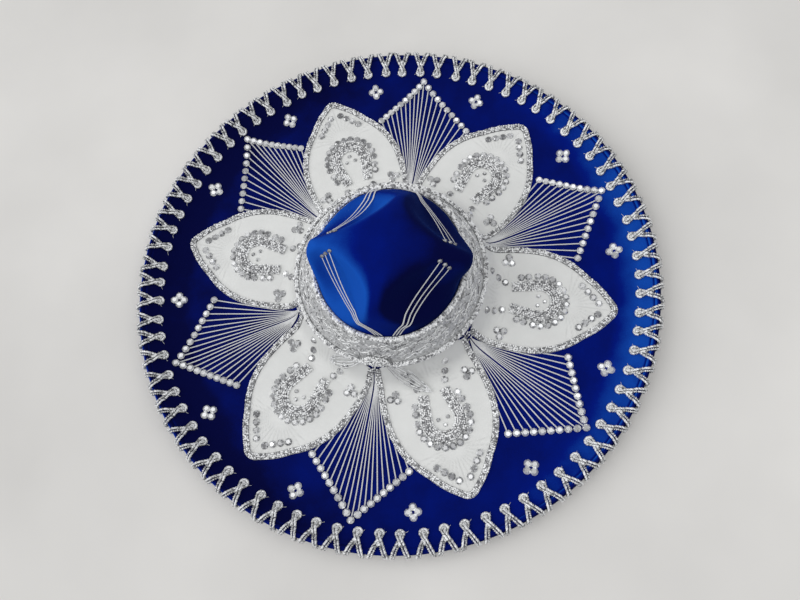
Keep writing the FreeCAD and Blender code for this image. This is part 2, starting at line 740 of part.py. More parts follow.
def make_crown_threads():
    """Three threads over each dent, from studs by a side ridge to the foot of the front or back one."""
    radius = number("$crown_thread") / 2
    lift = number("$velvet + 2 * $fit_gap") + radius
    stud = number("$crown_stud") / 2
    threads = []
    studs = []
    for side, foot in ((0, 90), (180, 90), (180, 270), (0, 270)):
        way = 1 if (foot - side) % 360 == 90 else -1
        for k in range(3):
            top = crown_spot(side + way * 14, number("$stud_height") + 5.5 * k, number("$velvet") + stud)
            turn = 23 - 3 * k
            rim = crown_spot(foot - way * turn, dent_foot(turn) + 1.5, lift)
            middle = crown_spot(foot - way * (15.5 - 2.5 * k), number("@waist_z"), lift)
            end = number("$band_top + $band_cord") + 2
            r = number(crown_side(str(end), str(lift))[0])
            around = radians(foot - way * (9 - 2.5 * k))
            low = Vector(r * cos(around), r * sin(around), end)
            start = top + (rim - top).normalize() * (stud + number("$fit_gap"))
            threads.append(strand([start, rim, middle, low], radius))
            studs.append(Part.makeSphere(stud, top))
    group("crown_threads", threads)
    group("crown_studs", studs)


# Tie ---------------------------------------------------------------------------------------------
def leaf_outline(length, width):
    """A pointed loop along +X from the origin, between two arcs."""
    radius = f"(({length} * {length} + {width} * {width}) / 4 / {width})"
    drop = f"({radius} - {width} / 2)"
    return [("0", "0", arc(f"{length} / 2", drop, radius, True)),
            (length, "0", arc(f"{length} / 2", f"-1 * {drop}", radius, True))]


def make_tie():
    """A knot over the lower cord of the hat band, with a short and a long loop beside it."""
    face = "$velvet + $satin + $band_cord + 2 * $fit_gap"
    seat = revolved("knot_seat", [
        ("0", "@form_top"),
        flare_end(face) + (flare_arc(face, False),),
        flare_start(face),
        on_side("$band_top", face),
        ("0", "$band_top"),
    ])
    middle = on_side("$band_bottom - $band_cord", face)
    ball = doc.addObject("Part::Ellipsoid", "knot_ball")
    ball.setExpression("Radius1", bind("$knot_height"))
    ball.setExpression("Radius2", bind("$knot_depth / 2"))
    ball.setExpression("Radius3", bind("$knot_width / 2"))
    spot = f"({middle[0]}) * cos($tie_angle); ({middle[0]}) * sin($tie_angle); {middle[1]}"
    turn = "create(<<rotation>>; $tie_angle; 90 - @side_slope; 0)"
    ball.setExpression("Placement", bind(f"create(<<placement>>; create(<<vector>>; {spot}); {turn})"))
    knot = boolean("Cut", "tie_knot", ball, seat)
    hollow = "$stone * $stone / 8 / ($flare_radius - $velvet - $satin)"
    above = f"$velvet + $satin + $stone_height + {hollow} + 3 * $fit_gap"
    layer = revolved("tie_layer", drape_section(above, above + " + $tie_loop", UNDER_CORD))
    for name, length, width, along, turn in (
            ("tie_loop_left", "$left_loop", "$loop_width", "-$knot_width / 3", "$tie_angle - 92"),
            ("tie_loop_right", "$right_loop", "$loop_width", "$knot_width / 4", "$tie_angle + 66")):
        leaf = upright(name + "_cut_out", leaf_outline(length, width))
        start = "($crown_base_radius - 1)"
        put(leaf, f"{start} * cos($tie_angle) + ({along}) * cos($tie_angle + 90)",
            f"{start} * sin($tie_angle) + ({along}) * sin($tie_angle + 90)", turn)
        boolean("Cut", name, boolean("Common", name + "_whole", layer, leaf), knot)


NODES = ["brim_board", "brim_velvet_top", "brim_velvet_under", "brim_edge_wire", "edge_binding",
         "crown_form", "crown_velvet", "crown_lining", "sweatband", "hat_band", "band_cord_upper",
         "band_cord_lower", "tie_knot", "tie_loop_left", "tie_loop_right", "edge_loops",
         "rosette_stones", "crown_threads", "crown_studs"]
for kind in ("petal", "petal_border", "horseshoe", "petal_stones", "thread_fan", "fan_stones"):
    NODES += [f"{kind}_{k}" for k in PETALS]


def export():
    """Check every object, then write each sub-part to its own file."""
    doc.recompute()
    failed = [o.Name for o in doc.Objects if {"Invalid", "Error"} & set(o.State)]
    if failed:
        raise RuntimeError("failed objects: " + ", ".join(failed))
    pieces = {}
    for name in NODES:
        piece = doc.getObject(name)
        piece.Label = name
        if piece.Shape.isNull() or not piece.Shape.isValid() or not piece.Shape.Solids:
            raise RuntimeError("bad shape: " + name)
        pieces[name] = piece
    os.makedirs("parts", exist_ok=True)
    for name, piece in pieces.items():
        piece.Shape.exportStep(f"parts/{name}.step")
        print(f"{name}: {len(piece.Shape.Solids)} solids, {piece.Shape.Volume:.0f} mm3")


make_brim()
make_edge()
make_crown()
make_sweatband()
make_hat_band()
make_petals()
make_edge_loops()
make_stones()
make_crown_threads()
make_tie()
export()
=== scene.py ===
"""Embroidered charro hat: every visible surface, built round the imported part.

Lengths are metres and angles radians.  +Z is up, the hat rests on z = 0, and the Z axis runs
through the middle of the crown.  Every layer follows one section line, the outer face of the hat's
stiff form, so a place on the hat is a plan position and a lift above that face.  The crown is made
upright and round, and add_piece then settles each piece as the worn crown sits.
"""
from math import acos, asin, atan2, cos, hypot, pi, radians, sin, sqrt, tan
from random import Random

import bmesh
import bpy
from mathutils import Matrix, Vector


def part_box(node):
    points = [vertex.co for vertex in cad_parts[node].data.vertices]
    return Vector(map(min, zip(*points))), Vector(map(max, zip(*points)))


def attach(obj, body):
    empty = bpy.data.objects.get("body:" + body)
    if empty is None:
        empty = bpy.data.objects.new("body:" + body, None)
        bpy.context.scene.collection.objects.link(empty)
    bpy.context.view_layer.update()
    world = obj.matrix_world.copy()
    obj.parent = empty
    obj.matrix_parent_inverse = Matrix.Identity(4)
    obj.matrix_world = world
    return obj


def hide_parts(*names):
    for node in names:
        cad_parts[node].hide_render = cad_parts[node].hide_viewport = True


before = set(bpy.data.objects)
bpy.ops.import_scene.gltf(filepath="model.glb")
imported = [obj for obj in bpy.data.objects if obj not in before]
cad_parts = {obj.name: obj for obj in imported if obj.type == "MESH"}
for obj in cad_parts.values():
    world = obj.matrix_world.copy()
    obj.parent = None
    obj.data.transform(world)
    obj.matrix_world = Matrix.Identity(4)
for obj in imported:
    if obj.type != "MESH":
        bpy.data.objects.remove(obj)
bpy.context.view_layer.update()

bl_info = {
    "name": "Charro hat",
    "version": (1, 0, 0),
    "blender": (4, 5, 0),
    "location": "View3D > Sidebar > Charro hat",
    "description": "Builds the velvet, satin, beadwork and cords of an embroidered charro hat",
    "category": "Add Mesh",
}
MM = 0.001
TURN = 2 * pi
UP = Vector((0, 0, 1))
GAP = 0.1 * MM              # between two layers that lie on each other
PAST_TIP = 1.7 * MM         # how far the velvet goes on past the board's tip, to the bound edge
BOARD_BACK = -1 * MM        # how far the board stops before that tip
BRIM_STEPS = 192            # steps of a full turn of the brim's layers
# Ramp positions of painted shade, middle tone and painted highlight in the glint finishes.
BEAD_SHADES = (0.16, 0.36, 0.55)
STONE_SHADES = (0.15, 0.5, 0.85)
CORD_SHADES = (0.05, 0.28, 0.55)


# Settings ----------------------------------------------------------------------------------------
def length(name, text, default):
    return bpy.props.FloatProperty(name=name, description=text, default=default, min=0,
                                   precision=4, unit="LENGTH")


def angle(name, text, degrees):
    return bpy.props.FloatProperty(name=name, description=text, default=radians(degrees),
                                   subtype="ANGLE")


def number(name, text, default):
    return bpy.props.IntProperty(name=name, description=text, default=default, min=1)


def colour(name, text, default):
    return bpy.props.FloatVectorProperty(name=name, description=text, default=default, size=3,
                                         min=0, max=1, subtype="COLOR")


class HatShape(bpy.types.PropertyGroup):
    """The stiff form and the thickness of what covers it."""
    brim_radius: length("Brim radius", "outer radius of the bound edge",
                        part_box("edge_binding")[1].x)
    crown_top: length("Crown height", "top of the crown velvet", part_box("crown_velvet")[1].z)
    base_radius: length("Crown base", "where the crown side and the brim would meet", 0.114)
    side_slope: angle("Side slope", "lean of the crown side from upright", 27)
    flare_radius: length("Flare", "fillet between crown side and brim", 0.0212)
    waist_radius: length("Waist", "arc between the leaning side and the wall", 0.060)
    wall_radius: length("Wall", "radius of the upright wall", 0.068)
    shoulder_radius: length("Shoulder", "arc between wall and dome", 0.025)
    dome_radius: length("Dome", "radius of the crown top", 0.090)
    dent_radius: length("Dent", "radius of each dent", 0.085)
    dent_reach: length("Dent reach", "distance of a dent's centre from the axis", 0.118)
    dent_height: length("Dent height", "height of a dent's centre", 0.170)
    dent_soften: length("Dent softness", "how far the edges of the dents are rounded", 0.014)
    top_turn: angle("Top turn", "how far the top of the crown is twisted", 9.5)
    top_right: length("Top right", "how far the top has moved to the right", 0.0075)
    top_front: length("Top front", "how far the top has moved forwards", 0.014)
    curl_radius: length("Curl", "arc that lifts the brim to its edge", 0.070)
    curl_angle: angle("Curl angle", "slope of the brim at its edge", 32)
    curl_tip: length("Curl tip", "straight stretch outside the arc", 0.014)
    form_wall: length("Form", "thickness of the stiff form", 0.0024)
    velvet: length("Velvet", "thickness of the velvet", 0.0012)
    binding: length("Binding", "diameter of the bound edge", 0.0064)
    band_low: length("Band bottom", "lower edge of the hat band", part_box("hat_band")[0].z)
    band_high: length("Band top", "upper edge of the hat band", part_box("hat_band")[1].z)
    band_wall: length("Band", "thickness of the hat band", 0.0016)
    band_cord: length("Band cord", "diameter of the beaded cords along the band", 0.0044)
    lining: length("Lining", "thickness of the crown lining", 0.0006)


class HatTrim(bpy.types.PropertyGroup):
    """Petals, beadwork, threads, stones and cords."""
    satin: length("Satin", "thickness of the petals' satin", 0.0008)
    bead: length("Bead", "length of a bead", 0.0029)
    petal_tip: length("Petal tip", "petal tip from the axis", 0.241)
    petal_half: length("Petal half width", "half of the widest part", 0.059)
    petal_belly: length("Petal belly", "widest part from the axis", 0.148)
    belly_radius: length("Belly radius", "arc from the widest part to the flank", 0.08987)
    tip_round: length("Tip", "rounding of the petal's tip", 0.013)
    flank_bulge: length("Flank bulge", "how far the flank of a petal swells", 0.0018)
    petal_root: length("Petal root", "inner end of the satin, under the band", 0.092)
    notch_radius: length("Notch", "where two petals part, from the axis", 0.106)
    notch_angle: angle("Notch angle", "the same place, from the petal's own axis", 28.8)
    border: length("Border", "width of the beaded border", 0.007)
    shoe_centre: length("Horseshoe", "middle of the horseshoe's curve from the axis", 0.160)
    shoe_outer: length("Horseshoe radius", "outer radius of its curve", 0.0235)
    shoe_band: length("Horseshoe band", "width of its band", 0.0115)
    shoe_leg: length("Horseshoe legs", "length of its straight legs", 0.027)
    shoe_close: angle("Horseshoe closing", "how much its legs close towards the crown", 12)
    fan_tip: length("Fan tip", "outer point of a fan from the axis", 0.252)
    fan_slope: angle("Fan slope", "half of the angle at that point", 42.4)
    fan_edge: length("Fan edge", "length of an outer edge", 0.079)
    fan_thread: length("Fan thread", "thickness of one strand", 0.00065)
    stone: length("Stone", "diameter of a stone", 0.0072)
    small_stone: length("Small stone", "diameter of a small stone", 0.0046)
    stone_height: length("Stone height", "height of a stone", 0.0026)
    rosette_radius: length("Rosettes", "middle of a rosette from the axis", 0.242)
    loops: number("Edge loops", "cord loops round the edge", 78)
    loop_length: length("Loop length", "from the edge to the middle of a loop's head", 0.0185)
    loop_strand: length("Loop strand", "thickness of one of a loop's two cords", 0.0029)
    loop_wrap: length("Loop wrap", "how far a leg goes back under the brim", 0.009)
    crown_thread: length("Crown thread", "thickness of a thread across a dent", 0.0010)
    crown_stud: length("Crown stud", "diameter of the stud at its end", 0.0036)
    stud_height: length("Stud height", "height of the lowest stud", 0.140)
    tie_angle: angle("Tie", "where the tie is, round the axis", 262)


class HatColours(bpy.types.PropertyGroup):
    """Colours of the materials."""
    # The velvet's painted shade, its own blue, and its painted highlight, which is also the sheen's
    # tint; the painted light attribute picks between them.
    velvet_painted_shade: colour("Velvet shade", "pile that leans away", (0.002, 0.003, 0.045))
    velvet: colour("Velvet", "pile that stands up", (0.001, 0.009, 0.19))
    velvet_sheen_and_painted_highlight: colour("Velvet sheen", "pile that catches the light", (0.008, 0.085, 0.48))
    satin: colour("Satin", "petals", (0.78, 0.79, 0.78))
    # Silver's own colour, which also sets the painted highlight of the glint finishes; below it,
    # the painted shade of silver that faces away.
    silver: colour("Silver", "beads and metallic thread", (0.84, 0.85, 0.86))
    silver_painted_shade: colour("Silver shade", "silver that faces away", (0.07, 0.07, 0.08))
    thread: colour("Thread", "silver-white thread", (0.80, 0.81, 0.82))
    leather: colour("Leather", "sweatband", (0.10, 0.055, 0.03))
    lining: colour("Lining", "crown lining", (0.012, 0.016, 0.05))
    board: colour("Board", "stiff form", (0.32, 0.25, 0.15))
    steel: colour("Steel", "edge wire", (0.35, 0.35, 0.36))
    floor: colour("Floor", "floor", (0.78, 0.77, 0.75))


PETALS = tuple(range(1, 7))
PETAL_TURNS = {k: radians(t) for k, t in zip(PETALS, (51, 109, 167.5, 231.5, 289.5, 351))}
FAN_TURNS = {k: (PETAL_TURNS[k] + (PETAL_TURNS[k - 1] if k > 1 else PETAL_TURNS[6] - TURN)) / 2
             for k in PETALS}
FAN_LEANS = {k: lean * MM for k, lean in zip(PETALS, (10, 9, -17, 6, 2, 3))}


# Section line ------------------------------------------------------------------------------------
def arc(r, z, reach, turns):
    """Points round (r, z), at angles from straight up.  A reach below zero starts from below."""
    return [(r + reach * sin(turn), z + reach * cos(turn)) for turn in turns]


class HatLine:
    """The outer face of the stiff form.  A lift is a distance outwards from it."""

    def __init__(self, shape):
        self.s = shape
        curl = shape.curl_angle
        self.floor = shape.velvet + shape.form_wall
        self.steep = pi / 2 - shape.side_slope
        self.flare_x = shape.base_radius + shape.flare_radius * tan(self.steep / 2)
        self.flare_z = self.floor + shape.flare_radius
        self.edge_x = shape.brim_radius - shape.binding / 2
        self.tip_x = self.edge_x - shape.binding / 2 * cos(curl) - shape.form_wall / 2 * sin(curl)
        self.curl_x = self.tip_x - shape.curl_radius * sin(curl) - shape.curl_tip * cos(curl)
        self.curl_z = self.floor + shape.curl_radius
        self.tip_z = self.curl_z - shape.curl_radius * cos(curl) + shape.curl_tip * sin(curl)
        self.edge_z = self.tip_z - shape.form_wall / 2 * cos(curl) + shape.binding / 2 * sin(curl)
        self.waist_x = shape.wall_radius + shape.waist_radius
        cone_top = self.waist_x - shape.waist_radius * cos(shape.side_slope)
        cone_height = (shape.base_radius - cone_top) / tan(shape.side_slope)
        self.waist_z = self.floor + cone_height + shape.waist_radius * sin(shape.side_slope)
        self.dome_z = shape.crown_top - shape.velvet - shape.dome_radius
        self.shoulder_x = shape.wall_radius - shape.shoulder_radius
        reach = shape.dome_radius - shape.shoulder_radius
        self.shoulder_z = self.dome_z + sqrt(reach ** 2 - self.shoulder_x ** 2)

    def side_x(self, height, lift):
        """Radius of the crown side, up to and past the waist."""
        s = self.s
        waist_start = self.waist_z - (s.waist_radius - lift) * sin(s.side_slope)
        if height > waist_start:
            rise = self.waist_z - height
            return self.waist_x - sqrt((s.waist_radius - lift) ** 2 - rise ** 2)
        return s.base_radius - (height - self.floor) * tan(s.side_slope) + lift / cos(s.side_slope)

    def crown_x(self, around, height, lift):
        """Radius of the crown above its waist, with its dents."""
        s = self.s
        above = height - self.shoulder_z
        grow = (s.dome_radius + lift) / (s.dome_radius - s.shoulder_radius)
        if height < self.waist_z:
            r = self.side_x(height, lift)
        elif above > (self.shoulder_z - self.dome_z) * (grow - 1):
            r = sqrt(max(0, (s.dome_radius + lift) ** 2 - (height - self.dome_z) ** 2))
        elif above > 0:
            r = self.shoulder_x + sqrt((s.shoulder_radius + lift) ** 2 - above ** 2)
        else:
            r = s.wall_radius + lift
        off = around % (pi / 2) - pi / 4
        along = s.dent_reach * cos(off)
        spare = along ** 2 - s.dent_reach ** 2 - (height - s.dent_height) ** 2 \
            + (s.dent_radius - lift) ** 2
        if spare <= 0:
            return r
        dent = along - sqrt(spare)
        soft = s.dent_soften
        mix = min(1, max(0, 0.5 + (dent - r) / soft / 2))
        return dent + (r - dent) * mix - soft * mix * (1 - mix)

    def spot(self, x, y, lift):
        """A point on the brim or the foot of the crown side, and the direction out of it."""
        s = self.s
        r = hypot(x, y)
        lean = 0
        height = self.floor + lift
        if r < self.flare_x:
            run = (self.flare_x - r) / (s.flare_radius - lift)
            if run < sin(self.steep):
                lean = asin(run)
                height = self.flare_z - (s.flare_radius - lift) * cos(lean)
            else:
                lean = self.steep
                side = s.base_radius + lift / cos(s.side_slope)
                height = self.floor + (side - r) / tan(s.side_slope)
        elif r > self.curl_x:
            run = (r - self.curl_x) / (s.curl_radius - lift)
            lean = -asin(min(run, sin(s.curl_angle)))
            height = self.curl_z - (s.curl_radius - lift) * cos(lean)
            if run > sin(s.curl_angle):
                past = r - self.curl_x - (s.curl_radius - lift) * sin(s.curl_angle)
                height += past * tan(s.curl_angle)
        out = Vector((x / r, y / r, 0))
        return Vector((x, y, height)), out * sin(lean) + UP * cos(lean)

    def side_spot(self, around, height, lift):
        """A point on the crown side and the direction out of it."""
        out = Vector((cos(around), sin(around), 0))
        lean = self.s.side_slope
        if height > self.waist_z - self.s.waist_radius * sin(lean):
            lean = asin(max(0, min(1, (self.waist_z - height) / self.s.waist_radius)))
        return out * self.side_x(height, lift) + UP * height, out * cos(lean) + UP * sin(lean)

    def crown_spot(self, around, height, lift):
        """A point on the crown above its waist."""
        r = self.crown_x(around, height, lift)
        return Vector((r * cos(around), r * sin(around), height))

    def brim(self, lift, top, past=0.0):
        """The line from a height on the crown side out past the brim's tip, as (r, z) points."""
        s = self.s
        line = []
        flare_top = self.flare_z - (s.flare_radius - lift) * sin(self.steep)
        for k in range(12):
            z = top + (flare_top - top) * k / 12
            line.append((self.side_x(z, lift), z))
        line += arc(self.flare_x, self.flare_z, lift - s.flare_radius,
                    [self.steep * (1 - k / 12) for k in range(12)])
        line += [(self.flare_x + (self.curl_x - self.flare_x) * k / 24, self.floor + lift)
                 for k in range(24)]
        line += arc(self.curl_x, self.curl_z, lift - s.curl_radius,
                    [-s.curl_angle * k / 12 for k in range(13)])
        for k in range(1, 6):
            out = past - (s.curl_tip + past) * (1 - k / 5)
            line.append((self.tip_x + out * cos(s.curl_angle) - lift * sin(s.curl_angle),
                         self.tip_z + out * sin(s.curl_angle) + lift * cos(s.curl_angle)))
        return line

    def crown(self, lift, low):
        """The plain crown's line, without dents, from a height up to the apex."""
        s = self.s
        line = []
        for k in range(16):
            z = low + (self.waist_z - low) * k / 16
            line.append((self.side_x(z, lift), z))
        for k in range(6):
            line.append((s.wall_radius + lift,
                         self.waist_z + (self.shoulder_z - self.waist_z) * k / 6))
        lean = atan2(self.shoulder_x, self.shoulder_z - self.dome_z)
        line += arc(self.shoulder_x, self.shoulder_z, s.shoulder_radius + lift,
                    [pi / 2 - (pi / 2 - lean) * k / 10 for k in range(10)])
        return line + arc(0, self.dome_z, s.dome_radius + lift,
                          [lean * (1 - k / 24) for k in range(25)])

    def edge_spot(self, inward, lift):
        """(r, z) and direction out, this far in from the brim's tip on the velvet.  Below zero it
        goes over the bound edge and back under the brim."""
        s = self.s
        curl = s.curl_angle
        tip = Vector((self.tip_x, self.tip_z))
        out = Vector((-sin(curl), cos(curl)))
        back = Vector((-cos(curl), -sin(curl)))
        if inward > s.curl_tip:
            turn = curl - (inward - s.curl_tip) / s.curl_radius
            reach = s.curl_radius - s.velvet - lift
            spot = Vector((self.curl_x + reach * sin(turn), self.curl_z - reach * cos(turn)))
            return spot, Vector((-sin(turn), cos(turn)))
        if inward >= 0:
            return tip + out * (s.velvet + lift) + back * inward, out
        half = s.form_wall / 2 + s.velvet
        reach = hypot(s.binding / 2, half)
        start = pi - atan2(half, s.binding / 2)
        turned = -inward / reach
        if turned < 2 * start:
            around = curl + start - turned
            way = Vector((cos(around), sin(around)))
            return Vector((self.edge_x, self.edge_z)) + way * (reach + lift), way
        under = -inward - 2 * start * reach
        return tip - out * (s.form_wall + s.velvet + lift) + back * under, -out

    def edge_length(self):
        """Length of the way over the bound edge."""
        half = self.s.form_wall / 2 + self.s.velvet
        return 2 * (pi - atan2(half, self.s.binding / 2)) * hypot(self.s.binding / 2, half)


def ease(value, low, high):
    """A smooth step from 0 to 1."""
    part = min(1, max(0, (value - low) / (high - low)))
    return part * part * (3 - 2 * part)


def settle(point):
    """Where a point of the plain crown is once worn: shifted, twisted and a little oval."""
    x, y, z = point
    if z < 12 * MM or hypot(x, y) > 160 * MM:
        return point
    s = bpy.context.scene.hat_shape
    waist, crest = 92 * MM, 140 * MM
    band_share, band_deeper = 0.46, 0.055
    top_wider, top_narrower = 0.14, 0.18
    top = ease(z, waist, crest)
    lean = band_share * ease(z, 43 * MM, waist) + (1 - band_share) * top
    x, y = turned(x, y * (1 + band_deeper * ease(z, 60 * MM, waist)), -s.top_turn * top)
    return Vector((x * (1 + top_wider * top) + s.top_right * lean,
                   y * (1 - top_narrower * top) - s.top_front * lean, z))


# Materials ---------------------------------------------------------------------------------------
class Finish:
    """A material being put together, one node at a time."""

    def __init__(self, name):
        self.material = bpy.data.materials.new(name)
        self.material.use_nodes = True
        self.tree = self.material.node_tree
        self.surface = self.tree.nodes["Principled BSDF"]

    def set(self, **sockets):
        for name, value in sockets.items():
            self.put(self.surface, name.replace("_", " "), value)

    def put(self, node, socket, value):
        target = node.inputs[socket]
        if isinstance(value, bpy.types.NodeSocket):
            self.tree.links.new(value, target)
        elif isinstance(value, (int, float)) or len(value) == len(target.default_value):
            target.default_value = value
        else:
            target.default_value = (*value, 1)

    def node(self, kind, output=0, settings=(), **sockets):
        made = self.tree.nodes.new("ShaderNode" + kind)
        for name, value in dict(settings).items():
            setattr(made, name, value)
        for name, value in sockets.items():
            self.put(made, int(name[1:]) if name[1:].isdigit() else name.replace("_", " "), value)
        return made.outputs[output]

    def maths(self, operation, a, b=0.0):
        return self.node("Math", settings={"operation": operation}, _0=a, _1=b)

    def place(self):
        return self.node("TexCoord", output="Object")

    def pattern(self):
        return self.node("UVMap", settings={"uv_map": "pattern"})

    def noise(self, scale, detail=2.0, roughness=0.5, at=None):
        return self.node("TexNoise", Vector=at or self.place(), Scale=scale, Detail=detail,
                         Roughness=roughness)

    def ramp(self, value, *stops):
        """A smooth or stepped change between (position, colour) stops."""
        made = self.tree.nodes.new("ShaderNodeValToRGB")
        elements = made.color_ramp.elements
        while len(elements) < len(stops):
            elements.new(0.5)
        for element, (position, tone) in zip(elements, stops):
            element.position = position
            element.color = (*tone, 1) if hasattr(tone, "__len__") else (tone, tone, tone, 1)
        self.put(made, "Fac", value)
        return made.outputs["Color"]

    def bump(self, height, distance, strength):
        self.set(Normal=self.node("Bump", Height=height, Distance=distance, Strength=strength))

    def grained(self, grain, tone, share, low, high, distance=0.0002, strength=0.3):
        """Dim the tone to a share of itself in the hollows of a grain, which also dents it."""
        self.set(Base_Color=self.ramp(grain, (low, dimmed(tone, share)), (high, tone)))
        self.bump(grain, distance, strength)


def dimmed(tone, share):
    return [v * share for v in tone]


def finish_velvet():
    """Dense pile with a brushed mottle, and light painted into its colour: a painted highlight
    where it faces the light on the left, painted shade where it faces away.
    """
    c = bpy.context.scene.hat_colours
    f = Finish("velvet")
    nap = f.node("Attribute", output="Fac", settings={"attribute_name": "nap"})
    brushed = f.noise(38.0, 6.0)
    pile = f.noise(1400.0)
    worn = f.maths("ADD", f.maths("MULTIPLY", brushed, 0.36), f.maths("MULTIPLY", pile, 0.20))
    # Painted light: the painted light attribute and the mottle pick painted shade, the velvet's own
    # blue or a painted highlight.
    f.set(Base_Color=f.ramp(f.maths("ADD", f.maths("SUBTRACT", nap, 0.28), worn),
                            (0.05, c.velvet_painted_shade), (0.48, c.velvet), (0.95, c.velvet_sheen_and_painted_highlight)))
    f.set(Roughness=0.85, Specular_IOR_Level=0.02, Sheen_Weight=0.30, Sheen_Roughness=0.42,
          Sheen_Tint=c.velvet_sheen_and_painted_highlight)
    f.bump(pile, 0.0004, 0.5)
    return f.material


def finish_satin():
    """Off-white satin with a fine weave and faint rays of stitching, pressed in and dimmed along
    them with painted shade.
    """
    c = bpy.context.scene.hat_colours
    f = Finish("satin")
    at = f.pattern()
    weave = f.node("TexWave", Vector=at, Scale=900.0, Distortion=0.4)
    cloud = f.noise(45.0, 3.0, at=at)
    tone = f.ramp(cloud, (0.3, dimmed(c.satin, 0.94)), (0.7, c.satin))
    rays = f.node("Attribute", output="Fac", settings={"attribute_name": "rays"})
    # Along the stitched rays the satin is dimmed: painted shade in their dents.
    shaded = f.node("Mix", output=2, settings={"data_type": "RGBA"}, _0=rays, _6=tone,
                    _7=dimmed(c.satin, 0.84))
    f.set(Base_Color=shaded, Roughness=0.55, Sheen_Weight=0.25, Specular_IOR_Level=0.35)
    height = f.maths("SUBTRACT", f.maths("MULTIPLY", weave, 0.15), rays)
    f.bump(height, 0.0003, 0.6)
    return f.material


def finish_painted_glint(name, low, high, rough, metal, shades):
    """Small faces, each painted with a glint of its own, from painted shade to painted highlight,
    as the reflections of cut or pressed silver.
    """
    c = bpy.context.scene.hat_colours
    f = Finish(name)
    glint = f.node("Attribute", output="Fac", settings={"attribute_name": "glint"})
    # Painted shade, silver's middle tone and painted highlight, picked by each face's painted
    # glint.
    painted_shade_tone, middle = ([a + (b - a) * part for a, b in zip(c.silver_painted_shade, c.silver)]
                    for part in (low, 0.6))
    bright = [min(1, v * high) for v in c.silver]
    f.set(Base_Color=f.ramp(glint, *zip(shades, (painted_shade_tone, middle, bright))),
          Metallic=metal, Roughness=rough)
    f.bump(f.noise(1800.0, 1.0), 0.0002, 0.3)
    return f.material


def finish_brocade():
    """Woven tinsel: grey-silver with darker gaps and bright crossings."""
    c = bpy.context.scene.hat_colours
    f = Finish("brocade")
    tangle = f.noise(340.0, 4.0, 0.7)
    knots = f.node("TexVoronoi", Vector=f.place(), Scale=380.0)
    both = f.maths("MULTIPLY", tangle, f.maths("ADD", knots, 0.35))
    f.set(Base_Color=f.ramp(both, (0.08, dimmed(c.silver, 0.32)), (0.24, dimmed(c.silver, 0.56)),
                            (0.50, dimmed(c.silver, 0.85))),
          Roughness=0.4, Metallic=0.3)
    f.bump(both, 0.0012, 0.8)
    return f.material


def finish_leather():
    """Sweatband leather, with a pebbled grain."""
    c = bpy.context.scene.hat_colours
    f = Finish("leather")
    grain = f.node("TexVoronoi", Vector=f.place(), Scale=700.0)
    f.set(Base_Color=f.ramp(f.noise(60.0), (0.3, dimmed(c.leather, 0.7)), (0.7, c.leather)),
          Roughness=0.5)
    f.bump(grain, 0.0003, 0.5)
    return f.material


def finish_lining():
    """Lining with a fine weave."""
    c = bpy.context.scene.hat_colours
    f = Finish("lining")
    weave = f.node("TexWave", Vector=f.place(), Scale=700.0)
    f.set(Base_Color=f.ramp(weave, (0.0, c.lining), (1.0, dimmed(c.lining, 1.4))),
          Roughness=0.4, Sheen_Weight=0.3)
    f.bump(weave, 0.0002, 0.3)
    return f.material


def finish_plain(name, tone, rough, metal=0.0, scale=300.0):
    """One tone with a little grain."""
    f = Finish(name)
    f.grained(f.noise(scale, 4.0), tone, 0.85, 0.3, 0.7)
    f.set(Roughness=rough, Metallic=metal)
    return f.material


def finish_thread():
    """Silver-white thread, laid in fine twisted strands."""
    f = Finish("thread")
    f.grained(f.noise(1500.0), bpy.context.scene.hat_colours.thread, 0.78, 0.35, 0.62, 0.0003, 0.5)
    f.set(Roughness=0.5)
    return f.material


def material(name):
    """The finish of that name, made the first time it is asked for."""
    found = bpy.data.materials.get(name)
    if found:
        return found
    c = bpy.context.scene.hat_colours
    makers = {
        "velvet": finish_velvet,
        "satin": finish_satin,
        "beads": lambda: finish_painted_glint("beads", 0.08, 1.17, 0.3, 0.2, BEAD_SHADES),
        "stones": lambda: finish_painted_glint("stones", 0.18, 1.15, 0.12, 0.5, STONE_SHADES),
        "cord": lambda: finish_painted_glint("cord", 0.30, 1.15, 0.35, 0.2, CORD_SHADES),
        "thread": finish_thread,
        "brocade": finish_brocade,
        "leather": finish_leather,
        "lining": finish_lining,
        "board": lambda: finish_plain("board", c.board, 0.9),
        "steel": lambda: finish_plain("steel", c.steel, 0.35, 1.0),
        "floor": lambda: finish_plain("floor", c.floor, 0.9, scale=3.0),
    }
    return makers[name]()


# Making pieces -----------------------------------------------------------------------------------
def link(name, data):
    """Put a mesh, light or camera in the scene as an object."""
    made = bpy.data.objects.new(name, data)
    bpy.context.scene.collection.objects.link(made)
    return made


def add_piece(name, bm, finish, nodes=(), smooth=True):
    """Make the mesh an object that rides on the hat and stands for its CAD nodes."""
    mesh = bpy.data.meshes.new(name)
    for vert in bm.verts:
        vert.co = settle(vert.co)
    for face in bm.faces:
        face.smooth = smooth
    # Velvet gets light and shade painted into its colour.
    if finish == "velvet":
        paint_velvet_light(bm)
    bm.to_mesh(mesh)
    bm.free()
    mesh.materials.append(material(finish))
    piece = link(name, mesh)
    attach(piece, "root")
    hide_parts(*nodes)
    return piece


